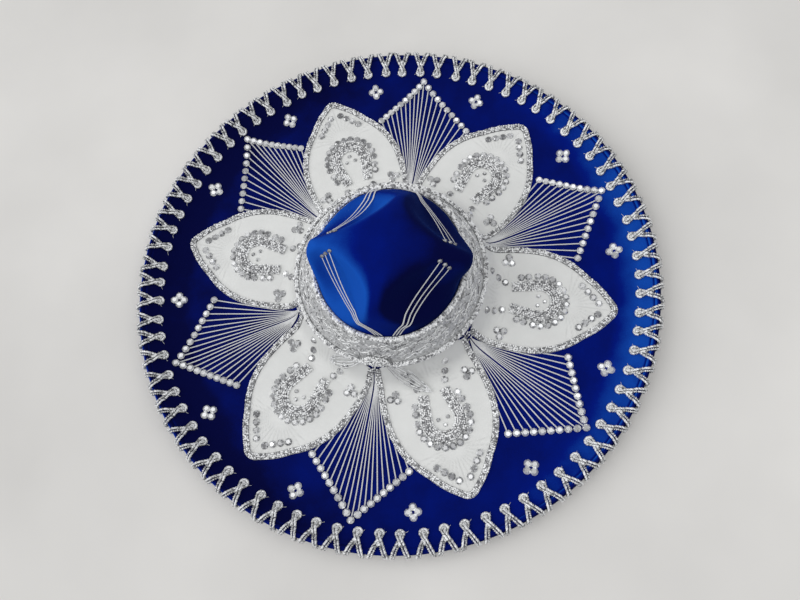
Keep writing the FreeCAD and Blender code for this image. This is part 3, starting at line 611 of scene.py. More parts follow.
def paint_velvet_light(bm):
    """Paint light into the velvet's colour: 0 is painted shade, 1 a painted highlight."""
    nap = bm.verts.layers.float.new("nap")
    bm.normal_update()
    for vert in bm.verts:
        x, y, z = vert.co
        high = ease(z, 0.07, 0.10)
        free = max(ease(hypot(x, y), 0.15, 0.22), high)
        # Painted light: lighter towards the right and front of the hat and on the crown; on the
        # curled rim and the crown, a painted highlight where the surface faces left towards the
        # light and painted shade where it faces right.
        upright = 0.25 + 0.12 * high + 0.4 * x - 0.15 * y
        away = -vert.normal.x
        facing_light = 1.35 * max(0, away - 0.18) + 0.85 * min(0, away)
        vert[nap] = min(1, max(0, upright + facing_light * free))


def spin_shell(bm, outer, inner, steps):
    """Turn the band between two lines of (r, z) about the Z axis into a closed shell."""
    face = bm.verts.layers.float.new("face")
    verts = [bm.verts.new((r, 0, z)) for r, z in outer + inner[::-1]]
    for vert in verts[:len(outer)]:
        vert[face] = 1
    ends = list(zip(verts, verts[1:] + verts[:1]))
    edges = [bm.edges.new(pair) for pair in ends
             if max(pair[0].co.x, pair[1].co.x) > 1e-6]
    bmesh.ops.spin(bm, geom=verts + edges, cent=(0, 0, 0), axis=(0, 0, 1), angle=TURN, steps=steps,
                   use_merge=True)
    bmesh.ops.remove_doubles(bm, verts=bm.verts, dist=1e-6)
    bmesh.ops.recalc_face_normals(bm, faces=bm.faces)


def carry(bm, section, spots, twist=0.0):
    """Carry a closed section along (point, direction out) pairs, and close its two ends."""
    frames = frames_along(spots, twist)
    local = bm.verts.layers.float_vector.get("local") or bm.verts.layers.float_vector.new("local")
    verts = []
    for point in section:
        vert = bm.verts.new(frames[0] @ Vector(point))
        vert[local] = point
        verts.append(vert)
    edges = first = [bm.edges.new(pair) for pair in zip(verts, verts[1:] + verts[:1])]
    for frame_here in frames[1:]:
        made = bmesh.ops.extrude_edge_only(bm, edges=edges)["geom"]
        edges = [e for e in made if isinstance(e, bmesh.types.BMEdge)]
        for vert in made:
            if isinstance(vert, bmesh.types.BMVert):
                vert.co = frame_here @ Vector(vert[local])
    last = set(v for e in edges for v in e.verts)
    edges = [e for e in bm.edges if e.is_boundary and e.verts[0] in last and e.verts[1] in last]
    bmesh.ops.holes_fill(bm, edges=first + edges, sides=0)


def frames_along(spots, twist):
    """Frames along a line: X to its side, Y out of the surface, Z along it."""
    frames = []
    gone = 0
    for k, (point, out) in enumerate(spots):
        before = spots[max(0, k - 1)][0]
        after = spots[min(len(spots) - 1, k + 1)][0]
        along = (after - before).normalized()
        side = along.cross(out).normalized()
        if k:
            gone += (point - before).length
        turn = Matrix.Rotation(gone * twist, 4, "Z")
        basis = Matrix((side, side.cross(along), along)).transposed().to_4x4()
        frames.append(Matrix.Translation(point) @ basis @ turn)
    return frames


def ring(radius, count):
    """The section of a round cord."""
    return [(radius * cos(TURN * k / count), radius * sin(TURN * k / count), 0)
            for k in range(count)]


def spin_cord(bm, radius, height, half, sides, steps):
    """A round cord that goes once round the Z axis."""
    spin_shell(bm, [(radius + x, height + z) for x, z, _ in ring(half, sides)], [], steps)


def stamp(bm, mesh, place):
    """Add a copy of a small mesh in its place."""
    mesh.transform(place)
    bm.from_mesh(mesh)
    mesh.transform(place.inverted())


def small_mesh(bm):
    """A mesh to stamp many times."""
    mesh = bpy.data.meshes.new("stamp")
    bmesh.ops.recalc_face_normals(bm, faces=bm.faces)
    bm.to_mesh(mesh)
    bm.free()
    return mesh


def bead_mesh(size):
    """A small cut bead, longer than it is wide."""
    bm = bmesh.new()
    bmesh.ops.create_icosphere(bm, subdivisions=1, radius=size / 2)
    bmesh.ops.scale(bm, verts=bm.verts, vec=(1.0, 0.72, 0.66))
    return small_mesh(bm)


def stone_mesh(diameter, height):
    """A flat-backed stone: a girdle, a crown of triangular facets and a table."""
    bm = bmesh.new()
    sides = 9
    bmesh.ops.create_cone(bm, cap_ends=True, segments=sides, radius1=diameter / 2,
                          radius2=diameter * 0.27, depth=height)
    top = [v for v in bm.verts if v.co.z > 0]
    bmesh.ops.rotate(bm, verts=top, cent=(0, 0, 0), matrix=Matrix.Rotation(pi / sides, 3, "Z"))
    bmesh.ops.translate(bm, verts=bm.verts, vec=(0, 0, height / 2))
    crown = [f for f in bm.faces if len(f.verts) == 4]
    bmesh.ops.triangulate(bm, faces=crown)
    base = [f for f in bm.faces if len(f.verts) == sides and f.normal.z < 0]
    made = bmesh.ops.extrude_face_region(bm, geom=base)["geom"]
    bmesh.ops.translate(bm, verts=[v for v in made if isinstance(v, bmesh.types.BMVert)],
                        vec=(0, 0, -height * 0.25))
    bmesh.ops.translate(bm, verts=bm.verts, vec=(0, 0, height * 0.25))
    bmesh.ops.scale(bm, verts=bm.verts, vec=(1, 1, 0.8))
    return small_mesh(bm)


def paint_face_glints(bm, seed, own=0.35, least=0.0, most=1.0, large_piece_top=0.35):
    """Give every face a painted glint, between painted shade and painted highlight, for the
    glinting finishes.

    The faces of one bead or stone share part of theirs, and only the rest, own, is a face's alone.
    A piece of more faces than a bead or stone has, such as the strip under a row of beads, takes no
    more than the cap given for large pieces, which paints such strips darker as painted shade
    between the beads.  The faces are put in order first, because the operators that made them give
    them in another order each time."""
    rng = Random(seed)
    most_faces = 60
    bm.verts.index_update()
    glint = bm.faces.layers.float.new("glint")
    seen = set()
    for start in bm.faces:
        if start in seen:
            continue
        seen.add(start)
        island = [start]
        for face in island:
            for edge in face.edges:
                for other in edge.link_faces:
                    if other not in seen:
                        seen.add(other)
                        island.append(other)
        common = rng.random()
        island.sort(key=lambda face: sorted(vert.index for vert in face.verts))
        for face in island:
            # Strips and other large pieces are painted darker: painted shade under and between the
            # beads.
            if len(island) > most_faces:
                face[glint] = rng.random() * large_piece_top
            else:
                face[glint] = least + (common * (1 - own) + rng.random() * own) * (most - least)


def stand(point, out, turn=0.0):
    """A place with its Z out of the surface."""
    return Matrix.Translation(point) @ out.to_track_quat("Z", "Y").to_matrix().to_4x4() \
        @ Matrix.Rotation(turn, 4, "Z")


def tumble(rng):
    """A random turn."""
    flat = Matrix.Rotation(rng.uniform(0, TURN), 4, "Z")
    return flat @ Matrix.Rotation(rng.gauss(0, 0.5), 4, "X") \
        @ Matrix.Rotation(rng.gauss(0, 0.5), 4, "Y")


def scatter(bm, mesh, point, out, rng, grow=1.0):
    """Sew a bead down, turned and tilted at random."""
    stamp(bm, mesh, stand(point, out, rng.uniform(0, TURN)) @ tumble(rng) @ Matrix.Scale(grow, 4))


def turned(x, y, around):
    """A plan point, turned about the Z axis."""
    return x * cos(around) - y * sin(around), x * sin(around) + y * cos(around)


def resample(points, step):
    """Evenly spaced points along a plan line."""
    gone = [0.0]
    for a, b in zip(points, points[1:]):
        gone.append(gone[-1] + hypot(b[0] - a[0], b[1] - a[1]))
    count = max(2, round(gone[-1] / step))
    result = []
    k = 0
    for n in range(count + 1):
        want = gone[-1] * n / count
        while k < len(points) - 2 and gone[k + 1] < want:
            k += 1
        part = (want - gone[k]) / max(gone[k + 1] - gone[k], 1e-12)
        result.append((points[k][0] + (points[k + 1][0] - points[k][0]) * part,
                       points[k][1] + (points[k + 1][1] - points[k][1]) * part))
    return result


# Petals' plan ------------------------------------------------------------------------------------
class PetalPlan:
    """The outline of a petal along +X, and of the horseshoe on it."""

    def __init__(self, t):
        self.t = t
        self.notch = (t.notch_radius * cos(t.notch_angle), t.notch_radius * sin(t.notch_angle))
        rise = t.petal_half - self.notch[1]
        self.side_radius = ((t.petal_belly - self.notch[0]) ** 2 + rise ** 2) / 2 / rise
        self.tip_centre = t.petal_tip - t.tip_round
        run = self.tip_centre - t.petal_belly
        climb = t.belly_radius - t.petal_half
        self.flank = atan2(climb, run) + acos((t.belly_radius - t.tip_round) / hypot(run, climb))

    def half_outline(self, inset):
        """One side from the root to the tip, as plan points."""
        t = self.t
        line = [(t.petal_root, t.petal_root * tan(t.notch_angle) - inset)]
        side = self.side_radius - inset
        first = asin((t.petal_belly - self.notch[0]) / side)
        for k in range(16):
            turn = first * (1 - k / 16)
            line.append((t.petal_belly - side * sin(turn),
                         t.petal_half - self.side_radius + side * cos(turn)))
        belly = t.belly_radius - inset
        for k in range(24):
            turn = (pi / 2 - self.flank) * k / 23
            line.append((t.petal_belly + belly * sin(turn),
                         t.petal_half - t.belly_radius + belly * cos(turn)))
        tip = t.tip_round - inset
        ahead, aside = self.tip_centre + tip * cos(self.flank), tip * sin(self.flank)
        x, y = line[-1]
        for k in range(1, 10):
            bulge = t.flank_bulge * sin(pi * k / 10)
            line.append((x + (ahead - x) * k / 10 + bulge * cos(self.flank),
                         y + (aside - y) * k / 10 + bulge * sin(self.flank)))
        for k in range(13):
            turn = self.flank * (1 - k / 12)
            line.append((self.tip_centre + tip * cos(turn), tip * sin(turn)))
        return line

    def outline(self, inset, step):
        half = self.half_outline(inset)
        whole = half + [(x, -y) for x, y in half[-2::-1]]
        return resample(whole, step)

    def half_width(self, x, inset=0.0):
        """Half of the petal's width at x."""
        line = self.half_outline(inset)
        for (xa, ya), (xb, yb) in zip(line, line[1:]):
            if xa <= x <= xb:
                return ya + (yb - ya) * (x - xa) / max(xb - xa, 1e-9)
        return 0.0

    def shoe_line(self, radius, step):
        """A line round the horseshoe at a distance from its middle, leg ends included."""
        t = self.t
        line = []
        for k in range(41):
            turn = (-pi / 2 - t.shoe_close) + (pi + 2 * t.shoe_close) * k / 40
            line.append((t.shoe_centre + radius * cos(turn), radius * sin(turn)))
        x, y = line[-1]
        end = (x - t.shoe_leg * cos(t.shoe_close), y - t.shoe_leg * sin(t.shoe_close))
        return resample([(end[0], -end[1])] + line + [end], step)


def plan_normals(points):
    """The direction to the left of a plan line at each of its points."""
    result = []
    for k in range(len(points)):
        a = points[max(0, k - 1)]
        b = points[min(len(points) - 1, k + 1)]
        size = max(hypot(b[0] - a[0], b[1] - a[1]), 1e-9)
        result.append(((a[1] - b[1]) / size, (b[0] - a[0]) / size))
    return result


def lay_beads(bm, line, points, around, lift, width, rows, rng, mesh, swell=0.0):
    """Sew rows of beads along a plan line, a little out of true, as a closed strip."""
    normals = plan_normals(points)
    for k, (x, y) in enumerate(points):
        spread = width * (1 + swell * sin(pi * k / (len(points) - 1)))
        for row in range(rows):
            off = ((row + 0.5) / rows - 0.5) * spread + rng.gauss(0, 0.25 * MM)
            slide = rng.gauss(0, 0.3 * MM)
            nx, ny = normals[k]
            px, py = turned(x + nx * off + ny * slide, y + ny * off - nx * slide, around)
            dome = 1 - (off / spread * 2) ** 2
            point, out = line.spot(px, py, lift + (0.9 + 0.7 * dome) * MM + rng.gauss(0, 0.15 * MM))
            scatter(bm, mesh, point, out, rng, rng.uniform(0.8, 1.15))


def strip(bm, line, points, around, lift, width, height):
    """The padded strip under a row of beads."""
    section = [(width / 2 * x, height * y, 0)
               for x, y in ((-1, 0), (-0.7, 0.8), (0, 1), (0.7, 0.8), (1, 0))]
    carry(bm, section, [line.spot(*turned(x, y, around), lift) for x, y in points])


# Operators ---------------------------------------------------------------------------------------
class HatOperator(bpy.types.Operator):
    """Base of the hat's operators, with its sizes and its lines"""
    bl_options = {"REGISTER", "UNDO"}

    def measure(self, context):
        self.shape = context.scene.hat_shape
        self.trim = context.scene.hat_trim
        self.line = HatLine(self.shape)
        self.plan = PetalPlan(self.trim)


class HAT_OT_velvet(HatOperator):
    """Velvet over the brim and under it, and the bound edge"""
    bl_idname = "hat.velvet"
    bl_label = "Velvet"

    def execute(self, context):
        self.measure(context)
        s = self.shape
        line = self.line
        top_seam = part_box("brim_velvet_top")[1].z
        under_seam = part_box("sweatband")[0].z - 0.4 * MM
        for name, node, seam, outer, inner in (
                ("brim_velvet", "brim_velvet_top", top_seam, s.velvet, 2 * GAP),
                ("underside_velvet", "brim_velvet_under", under_seam, -s.form_wall - GAP,
                 -s.form_wall - s.velvet)):
            bm = bmesh.new()
            spin_shell(bm, line.brim(outer, seam, PAST_TIP), line.brim(inner, seam, PAST_TIP),
                       BRIM_STEPS)
            cover = add_piece(name, bm, "velvet", [node])
            pi * (s.brim_radius ** 2 - line.side_x(seam, 0) ** 2)
        bm = bmesh.new()
        spin_cord(bm, line.edge_x, line.edge_z, s.binding / 2, 14, 240)
        add_piece("edge_piping", bm, "velvet", ["edge_binding"])
        return {"FINISHED"}


class HAT_OT_crown(HatOperator):
    """Crown velvet, stiff form and lining, with the same four dents"""
    bl_idname = "hat.crown"
    bl_label = "Crown"

    def execute(self, context):
        self.measure(context)
        s = self.shape
        inside = -s.form_wall - GAP
        for name, node, outer, inner, finish, slot, cloth, area in (
                ("crown_cover", "crown_velvet", s.velvet, GAP, "velvet", "blue_velvet",
                 0.34, 0.062),
                ("crown_shell", "crown_form", 0, -s.form_wall, "board", "stiffened_board", 0, 0),
                ("crown_liner", "crown_lining", inside, inside - s.lining, "lining", "lining",
                 0.32, 0.055)):
            piece = add_piece(name, self.dented(outer, inner, node), finish, [node])
        return {"FINISHED"}

    def dented(self, outer, inner, node):
        """The crown between two lifts, from the node's lower edge up, pushed in at the dents."""
        line = self.line
        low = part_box(node)[0].z
        bm = bmesh.new()
        spin_shell(bm, line.crown(outer, low), line.crown(inner, low), 160)
        face = bm.verts.layers.float["face"]
        for vert in bm.verts:
            x, y, z = vert.co
            r = hypot(x, y)
            if z > line.waist_z - 30 * MM and r > 1e-6:
                new = line.crown_x(atan2(y, x), z, outer if vert[face] else inner)
                vert.co = (x * new / r, y * new / r, z)
        soft = [v for v in bm.verts if v.co.z > line.waist_z - 4 * MM]
        for _ in range(4):
            bmesh.ops.smooth_vert(bm, verts=soft, factor=0.5, use_axis_x=True, use_axis_y=True,
                                  use_axis_z=True)
        return bm


class HAT_OT_inside(HatOperator):
    """Stitched sweatband, and the brim's stiff board and edge wire"""
    bl_idname = "hat.inside"
    bl_label = "Inside"

    def execute(self, context):
        self.measure(context)
        s = self.shape
        line = self.line
        low, high = (corner.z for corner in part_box("sweatband"))
        face = -s.form_wall - 0.7 * MM
        bm = bmesh.new()
        heights = [low + (high - low) * k / 10 for k in range(11)]
        outer = [(line.side_x(z, face), z) for z in heights]
        inner = [(r - 1.3 * MM - 0.4 * MM * sin(pi * k / 10), z) for k, (r, z) in enumerate(outer)]
        spin_shell(bm, outer, inner, 144)
        add_piece("sweatband_leather", bm, "leather", ["sweatband"])
        bm = bmesh.new()
        stitches = 180
        thread = 0.25 * MM
        for k in range(stitches):
            around = TURN * k / stitches
            point, out = line.side_spot(around, high - 3 * MM, face - 1.5 * MM)
            half = Vector((-sin(around), cos(around), 0)) * 1.1 * MM
            ends = point + out * thread
            carry(bm, ring(thread, 5), [(ends - half, -out), (point - out * 0.15 * MM, -out),
                                        (ends + half, -out)])
        bmesh.ops.recalc_face_normals(bm, faces=bm.faces)
        add_piece("sweatband_stitches", bm, "thread")
        bm = bmesh.new()
        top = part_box("brim_board")[1].z
        spin_shell(bm, line.brim(0, top, BOARD_BACK), line.brim(-s.form_wall, top, BOARD_BACK),
                   BRIM_STEPS)
        add_piece("brim_stiffener", bm, "board", ["brim_board"])
        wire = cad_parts["brim_edge_wire"].data.materials
        wire.clear()
        wire.append(material("steel"))
        return {"FINISHED"}


class HAT_OT_petals(HatOperator):
    """Satin petals with their beaded borders and horseshoes"""
    bl_idname = "hat.petals"
    bl_label = "Petals"

    def execute(self, context):
        self.measure(context)
        bead = bead_mesh(self.trim.bead)
        for k in PETALS:
            self.satin(k)
            self.border(k, bead)
            self.horseshoe(k, bead)
        self.notches(bead)
        return {"FINISHED"}

    def notches(self, bead):
        """The beads that fill the gaps where the borders of two petals meet."""
        t = self.trim
        rng = Random(500)
        bm = bmesh.new()
        step = 2.2 * MM
        stray = 0.3 * MM
        for k in PETALS:
            pitch = (PETAL_TURNS[k] - FAN_TURNS[k]) % TURN
            for row in range(5):
                r = t.notch_radius - 8 * MM + step * row
                half = max(0.8 * MM, (pitch - t.notch_angle) * r)
                count = round(2 * half / step) + 1
                for n in range(count):
                    off = (n - (count - 1) / 2) * step + rng.gauss(0, stray)
                    x, y = turned(r + rng.gauss(0, stray), off, FAN_TURNS[k])
                    scatter(bm, bead, *self.line.spot(x, y, self.shape.velvet + 1.2 * MM), rng)
        paint_face_glints(bm, 501)
        add_piece("notch_beads", bm, "beads", smooth=False)

    def satin(self, k):
        """A grid drawn in to the petal's outline, then laid over the brim."""
        t = self.trim
        inset = 0.2 * MM
        bm = bmesh.new()
        bmesh.ops.create_grid(bm, x_segments=110, y_segments=56, size=0.5)
        pattern = bm.loops.layers.uv.new("pattern")
        rays = bm.verts.layers.float.new("rays")
        end = t.petal_tip - inset
        for vert in bm.verts:
            part = vert.co.x + 0.5
            x = t.petal_root + (end - t.petal_root) * part
            y = vert.co.y * 2 * (self.plan.half_width(x) - inset)
            vert.co = (x, y, 0)
            vert[rays] = self.ray(x, y)
        for face in bm.faces:
            for loop in face.loops:
                loop[pattern].uv = loop.vert.co.xy
        lift = self.shape.velvet + t.satin
        for vert in bm.verts:
            x, y = vert.co.xy
            rise = 0.12 * MM * sin(70 * x) * cos(90 * y) - 0.10 * MM * vert[rays]
            vert.co = self.line.spot(*turned(x, y, PETAL_TURNS[k]), lift + rise)[0]
        bmesh.ops.remove_doubles(bm, verts=bm.verts, dist=0.05 * MM)
        bmesh.ops.recalc_face_normals(bm, faces=bm.faces)
        if sum(f.normal.z for f in bm.faces) < 0:
            bmesh.ops.reverse_faces(bm, faces=bm.faces)
        piece = add_piece(f"satin_petal_{k}", bm, "satin", [f"petal_{k}"])
        solid = piece.modifiers.new("cloth", "SOLIDIFY")
        solid.thickness = t.satin * 0.8
        solid.offset = -1

    def ray(self, x, y):
        """How near a spot is to one of the lines of stitching that spread from the shoe."""
        t = self.trim
        best = 0.0
        for cx, low, high, count, side in ((t.shoe_centre + 0.028, 0.010, 0.050, 34, 1),
                                           (t.shoe_centre - 0.034, 0.010, 0.032, 30, -1)):
            dx, dy = x - cx, y
            away = hypot(dx, dy)
            if dx * side < 0 or not low < away < high:
                continue
            swing = atan2(dy, dx) * count / TURN
            off = abs(swing - round(swing)) * away * TURN / count
            fade = min(1, (away - low) / 0.006) * min(1, (high - away) / 0.012)
            best = max(best, fade * max(0, 1 - off / (0.9 * MM)))
        return best

    def border(self, k, bead):
        t = self.trim
        self.beaded(f"beaded_border_{k}", f"petal_border_{k}", k, bead, 100, 3,
                    lambda step: self.plan.outline(t.border / 2, step),
                    (2.0 * MM, t.border - 0.6 * MM, 1.2 * MM), (1.95 * MM, t.border - 1.0 * MM))

    def horseshoe(self, k, bead):
        t = self.trim
        middle = t.shoe_outer - t.shoe_band / 2
        self.beaded(f"beaded_horseshoe_{k}", f"horseshoe_{k}", k, bead, 300, 6,
                    lambda step: self.plan.shoe_line(middle, step),
                    (2.0 * MM, t.shoe_band - 1.6 * MM, 1.3 * MM),
                    (1.9 * MM, t.shoe_band - 0.8 * MM), swell=0.32)

    def beaded(self, name, node, k, bead, seed, rows, points, pad, cover, swell=0.0):
        """A padded strip (step, width, height) and the rows of beads (step, width) that hide it."""
        bm = bmesh.new()
        lift = self.shape.velvet + self.trim.satin
        around = PETAL_TURNS[k]
        strip(bm, self.line, points(pad[0]), around, lift, *pad[1:])
        lay_beads(bm, self.line, points(cover[0]), around, lift, cover[1], rows, Random(seed + k),
                  bead, swell)
        paint_face_glints(bm, seed + 100 + k)
        add_piece(name, bm, "beads", [node], smooth=False)


class HAT_OT_fans(HatOperator):
    """Fans of silver thread between the petals"""
    bl_idname = "hat.fans"
    bl_label = "Thread fans"

    def execute(self, context):
        self.measure(context)
        t = self.trim
        for k in PETALS:
            bm = bmesh.new()
            for n, (x, y) in enumerate(fan_stone_spots(t, FAN_LEANS[k])):
                for strand in (-1, 1):
                    self.thread(bm, x, y, strand, FAN_TURNS[k], n)
            bmesh.ops.recalc_face_normals(bm, faces=bm.faces)
            add_piece(f"silver_fan_{k}", bm, "thread", [f"thread_fan_{k}"])
        return {"FINISHED"}

    def thread(self, bm, x, y, strand, around, n):
        """One strand from the notch to its stone, lying on the velvet and the strands before it."""
        t = self.trim
        start = (t.notch_radius + 1.5 * MM, 0.9 * MM * y / max(abs(y), 1 * MM))
        steps = 22
        spots = []
        size = hypot(x - start[0], y - start[1])
        nx, ny = -(y - start[1]) / size, (x - start[0]) / size
        for k in range(steps + 1):
            part = k / steps
            off = strand * t.fan_thread * (0.15 + 0.4 * part)
            px = start[0] + (x - start[0]) * part + nx * off
            py = start[1] + (y - start[1]) * part + ny * off
            heap = (n % 5) * 0.16 * MM * (1 - part) ** 3
            lift = self.shape.velvet + t.fan_thread / 2 + heap + GAP
            spots.append(self.line.spot(*turned(px, py, around), lift))
        carry(bm, ring(t.fan_thread / 2, 5), spots)


def fan_stone_spots(t, lean):
    """Where a fan's stones lie, along +X: its point, then both outer edges."""
    spots = [(t.fan_tip, lean)]
    back = t.fan_edge * cos(t.fan_slope)
    for side in (-1, 1):
        wide = side * t.fan_edge * sin(t.fan_slope) - lean
        share = (1 - t.stone / 2 / hypot(back, wide)) / 9
        spots += [(t.fan_tip - back * share * k, lean + wide * share * k) for k in range(1, 10)]
    return spots


def petal_stone_spots(t, plan):
    """Where a petal's stones lie, along +X: (x, y, small)."""
    ring_radius = t.shoe_outer + t.stone / 2 + 0.6 * MM
    close = t.shoe_close
    spots = []
    for k in range(13):
        turn = radians(-100 + 200 * k / 12)
        spots.append((t.shoe_centre + ring_radius * cos(turn), ring_radius * sin(turn), False))
    half = []
    for step in (9 * MM, 17 * MM):                                      # beside a leg
        half.append((t.shoe_centre - ring_radius * sin(close) - step * cos(close),
                     ring_radius * cos(close) - step * sin(close)))
    for step in (0, 8 * MM, 16 * MM):                                   # from a leg to the band
        half.append((t.shoe_centre - 39 * MM - step, 15.5 * MM + 0.4 * step))
    for dx, dy in ((0, 4.2), (-3.7, -2.6), (3.7, -2.6)):                # three near the notch
        half.append((t.shoe_centre + (dx - 38) * MM, (41 + dy) * MM))
    inset = t.tip_round - t.border - t.stone / 2 - 2.5 * MM             # along the flank
    for k in range(4):
        back = (9 + 8.4 * k) * MM
        half.append((plan.tip_centre - back * sin(plan.flank) + inset * cos(plan.flank),
                     back * cos(plan.flank) + inset * sin(plan.flank)))
    spots += [(x, side * y, False) for x, y in half for side in (-1, 1)]
    return spots + [(t.shoe_centre + dx * MM, dy * MM, True)
                    for dx, dy in ((5, 0), (-2, 5.2), (-2, -5.2))]


class HAT_OT_stones(HatOperator):
    """Cut stones on the petals, along the fans and in the rosettes"""
    bl_idname = "hat.stones"
    bl_label = "Stones"

    def execute(self, context):
        self.measure(context)
        t = self.trim
        self.rng = Random(7)
        past_seat = 1.12
        self.large = stone_mesh(t.stone * past_seat, t.stone_height)
        self.small = stone_mesh(t.small_stone, t.stone_height * 0.7)
        on_satin = self.shape.velvet + t.satin
        for k in PETALS:
            self.group(f"petal_gems_{k}", PETAL_TURNS[k], petal_stone_spots(t, self.plan),
                       on_satin, f"petal_stones_{k}", 0.0)
        for k in PETALS:
            spots = [(x, y, False) for x, y in fan_stone_spots(t, FAN_LEANS[k])]
            self.group(f"fan_gems_{k}", FAN_TURNS[k], spots, on_satin, f"fan_stones_{k}", 0.4)
        spread = t.stone / 2 + 1.4 * MM
        spots = []
        points = {k: FAN_TURNS[k] + atan2(FAN_LEANS[k], t.fan_tip) for k in PETALS}
        for k in PETALS:
            after = points[k % 6 + 1] + (TURN if k == 6 else 0)
            for around in ((points[k] + PETAL_TURNS[k]) / 2, (PETAL_TURNS[k] + after) / 2):
                spots += [(*turned(t.rosette_radius + dx * spread, dy * spread, around), False)
                          for dx, dy in ((1, 0), (-1, 0), (0, 1), (0, -1))]
        self.group("rosettes", 0, spots, self.shape.velvet, "rosette_stones", 0.4)
        return {"FINISHED"}

    def group(self, name, around, spots, lift, node, least):
        """Stones at plan places, turned round the axis.  None is duller than least."""
        bm = bmesh.new()
        for x, y, small in spots:
            point, out = self.line.spot(*turned(x, y, around), lift + GAP)
            lean = Vector((self.rng.gauss(0, 0.05), self.rng.gauss(0, 0.05), 0))
            stamp(bm, self.small if small else self.large,
                  stand(point, (out + lean).normalized(), self.rng.uniform(0, TURN)))
        paint_face_glints(bm, len(spots) + ord(name[-1]), own=0.7, least=least)
        add_piece(name, bm, "stones", [node], smooth=False)


def mirrored(line):
    """The way back along the other side."""
    return [(-across, inward) for across, inward in line[::-1]]


class HAT_OT_edge_loops(HatOperator):
    """Loops of doubled silver cord over the edge of the brim"""
    bl_idname = "hat.edge_loops"
    bl_label = "Edge loops"

    def execute(self, context):
        self.measure(context)
        t = self.trim
        bm = bmesh.new()
        kinds = 5
        variants = [self.loop(Random(40 + k)) for k in range(kinds)]
        rng = Random(5)
        for k in range(t.loops):
            around = TURN * k / t.loops + rng.gauss(0, 0.0025)
            stamp(bm, variants[rng.randrange(kinds)], Matrix.Rotation(around, 4, "Z"))
        paint_face_glints(bm, 6, large_piece_top=1.0)
        add_piece("cord_loops", bm, "cord", ["edge_loops"])
        bm = bmesh.new()
        for k in range(t.loops):
            self.stray(bm, TURN * k / t.loops, rng)
        add_piece("loop_stitches", bm, "thread")
        return {"FINISHED"}

    def place(self, across, inward, lift):
        """A point and direction out, across from the plane of a loop and in from the brim's tip."""
        spot, out = self.line.edge_spot(inward, lift)
        return Vector((spot.x, across, spot.y)), Vector((out.x, 0, out.y))

    def route(self, rng):
        """The middle line of a loop: (across, inward, rise), from foot to foot.  Its cord goes
        round the eye twice, and the second time over the first."""
        slope = cos(self.shape.curl_angle)
        tip, head = self.head()
        head += rng.gauss(0, 0.3 * MM)
        eye = 2.4 * MM
        cross = head - 6.9 * MM
        fall = 1.35 * eye / sqrt((head - cross) ** 2 - eye ** 2)
        meet = acos(eye / (head - cross))
        far = -self.line.edge_length() - self.trim.loop_wrap
        leg = []
        count = round((cross - far) / (1.25 * MM))
        for k in range(count + 1):
            inward = far + (cross - far) * k / count
            if inward > 0:
                leg.append((-fall * (cross - inward), inward))
            else:
                r = self.line.edge_spot(inward, 0)[0].x
                leg.append((-fall * cross - fall * (r - tip) / slope, inward))
        tangent = head - eye * cos(meet)
        neck = [(eye * sin(meet) * k / 4, cross + (tangent - cross) * k / 4) for k in range(1, 4)]
        turns = [meet + (TURN - 2 * meet) * k / 14 for k in range(15)]
        once = leg + neck + [(eye * sin(turn), head - eye * cos(turn)) for turn in turns] \
            + mirrored(neck)
        route = once + mirrored(once)
        half = len(once)
        reach = 6 * MM
        return [(a, v, 0.75 * MM * sin(min(pi, max(0, (v - cross + reach) / (2 * reach) * pi)))
                 * (1 if k > half else -0.12)) for k, (a, v) in enumerate(route)]

    def head(self):
        """The brim's tip, from the axis, and the middle of a loop's head, inward from it."""
        s = self.shape
        tip = self.line.edge_spot(0, 0)[0].x
        return tip, (tip - s.brim_radius + self.trim.loop_length) / cos(s.curl_angle)

    def loop(self, rng):
        bm = bmesh.new()
        route = self.route(rng)
        lobe = self.trim.loop_strand / 2
        section = [(lobe * w * cos(TURN * k / 6), lobe * w * sin(TURN * k / 6), 0)
                   for k, w in enumerate((1.05, 0.8, 0.8, 1.05, 0.8, 0.8))]
        for side in (-1, 1):
            spots = []
            for k, (across, inward, rise) in enumerate(route):
                a = route[max(0, k - 1)]
                b = route[min(len(route) - 1, k + 1)]
                size = hypot(b[0] - a[0], b[1] - a[1])
                off = side * lobe * 0.95
                spots.append(self.place(across + (b[1] - a[1]) / size * off,
                                        inward - (b[0] - a[0]) / size * off,
                                        lobe + max(0, rise) * 2 + GAP / 2))
            carry(bm, section, spots, twist=side * TURN / (6 * MM))
        return small_mesh(bm)

    def stray(self, bm, around, rng):
        """The short end of the stitch that holds a loop's head."""
        head = self.head()[1]
        reach = rng.uniform(2.5, 4.5) * MM
        turn = Matrix.Rotation(around, 3, "Z")
        spots = []
        for part in (0, 1 / 3, 2 / 3, 1):
            point, out = self.place(3.6 * MM + reach * part, head + (1.2 + 1.6 * part ** 2) * MM,
                                    (0.5 + 0.9 * part) * MM)
            spots.append((turn @ point, turn @ out))
        carry(bm, ring(0.2 * MM, 4), spots)


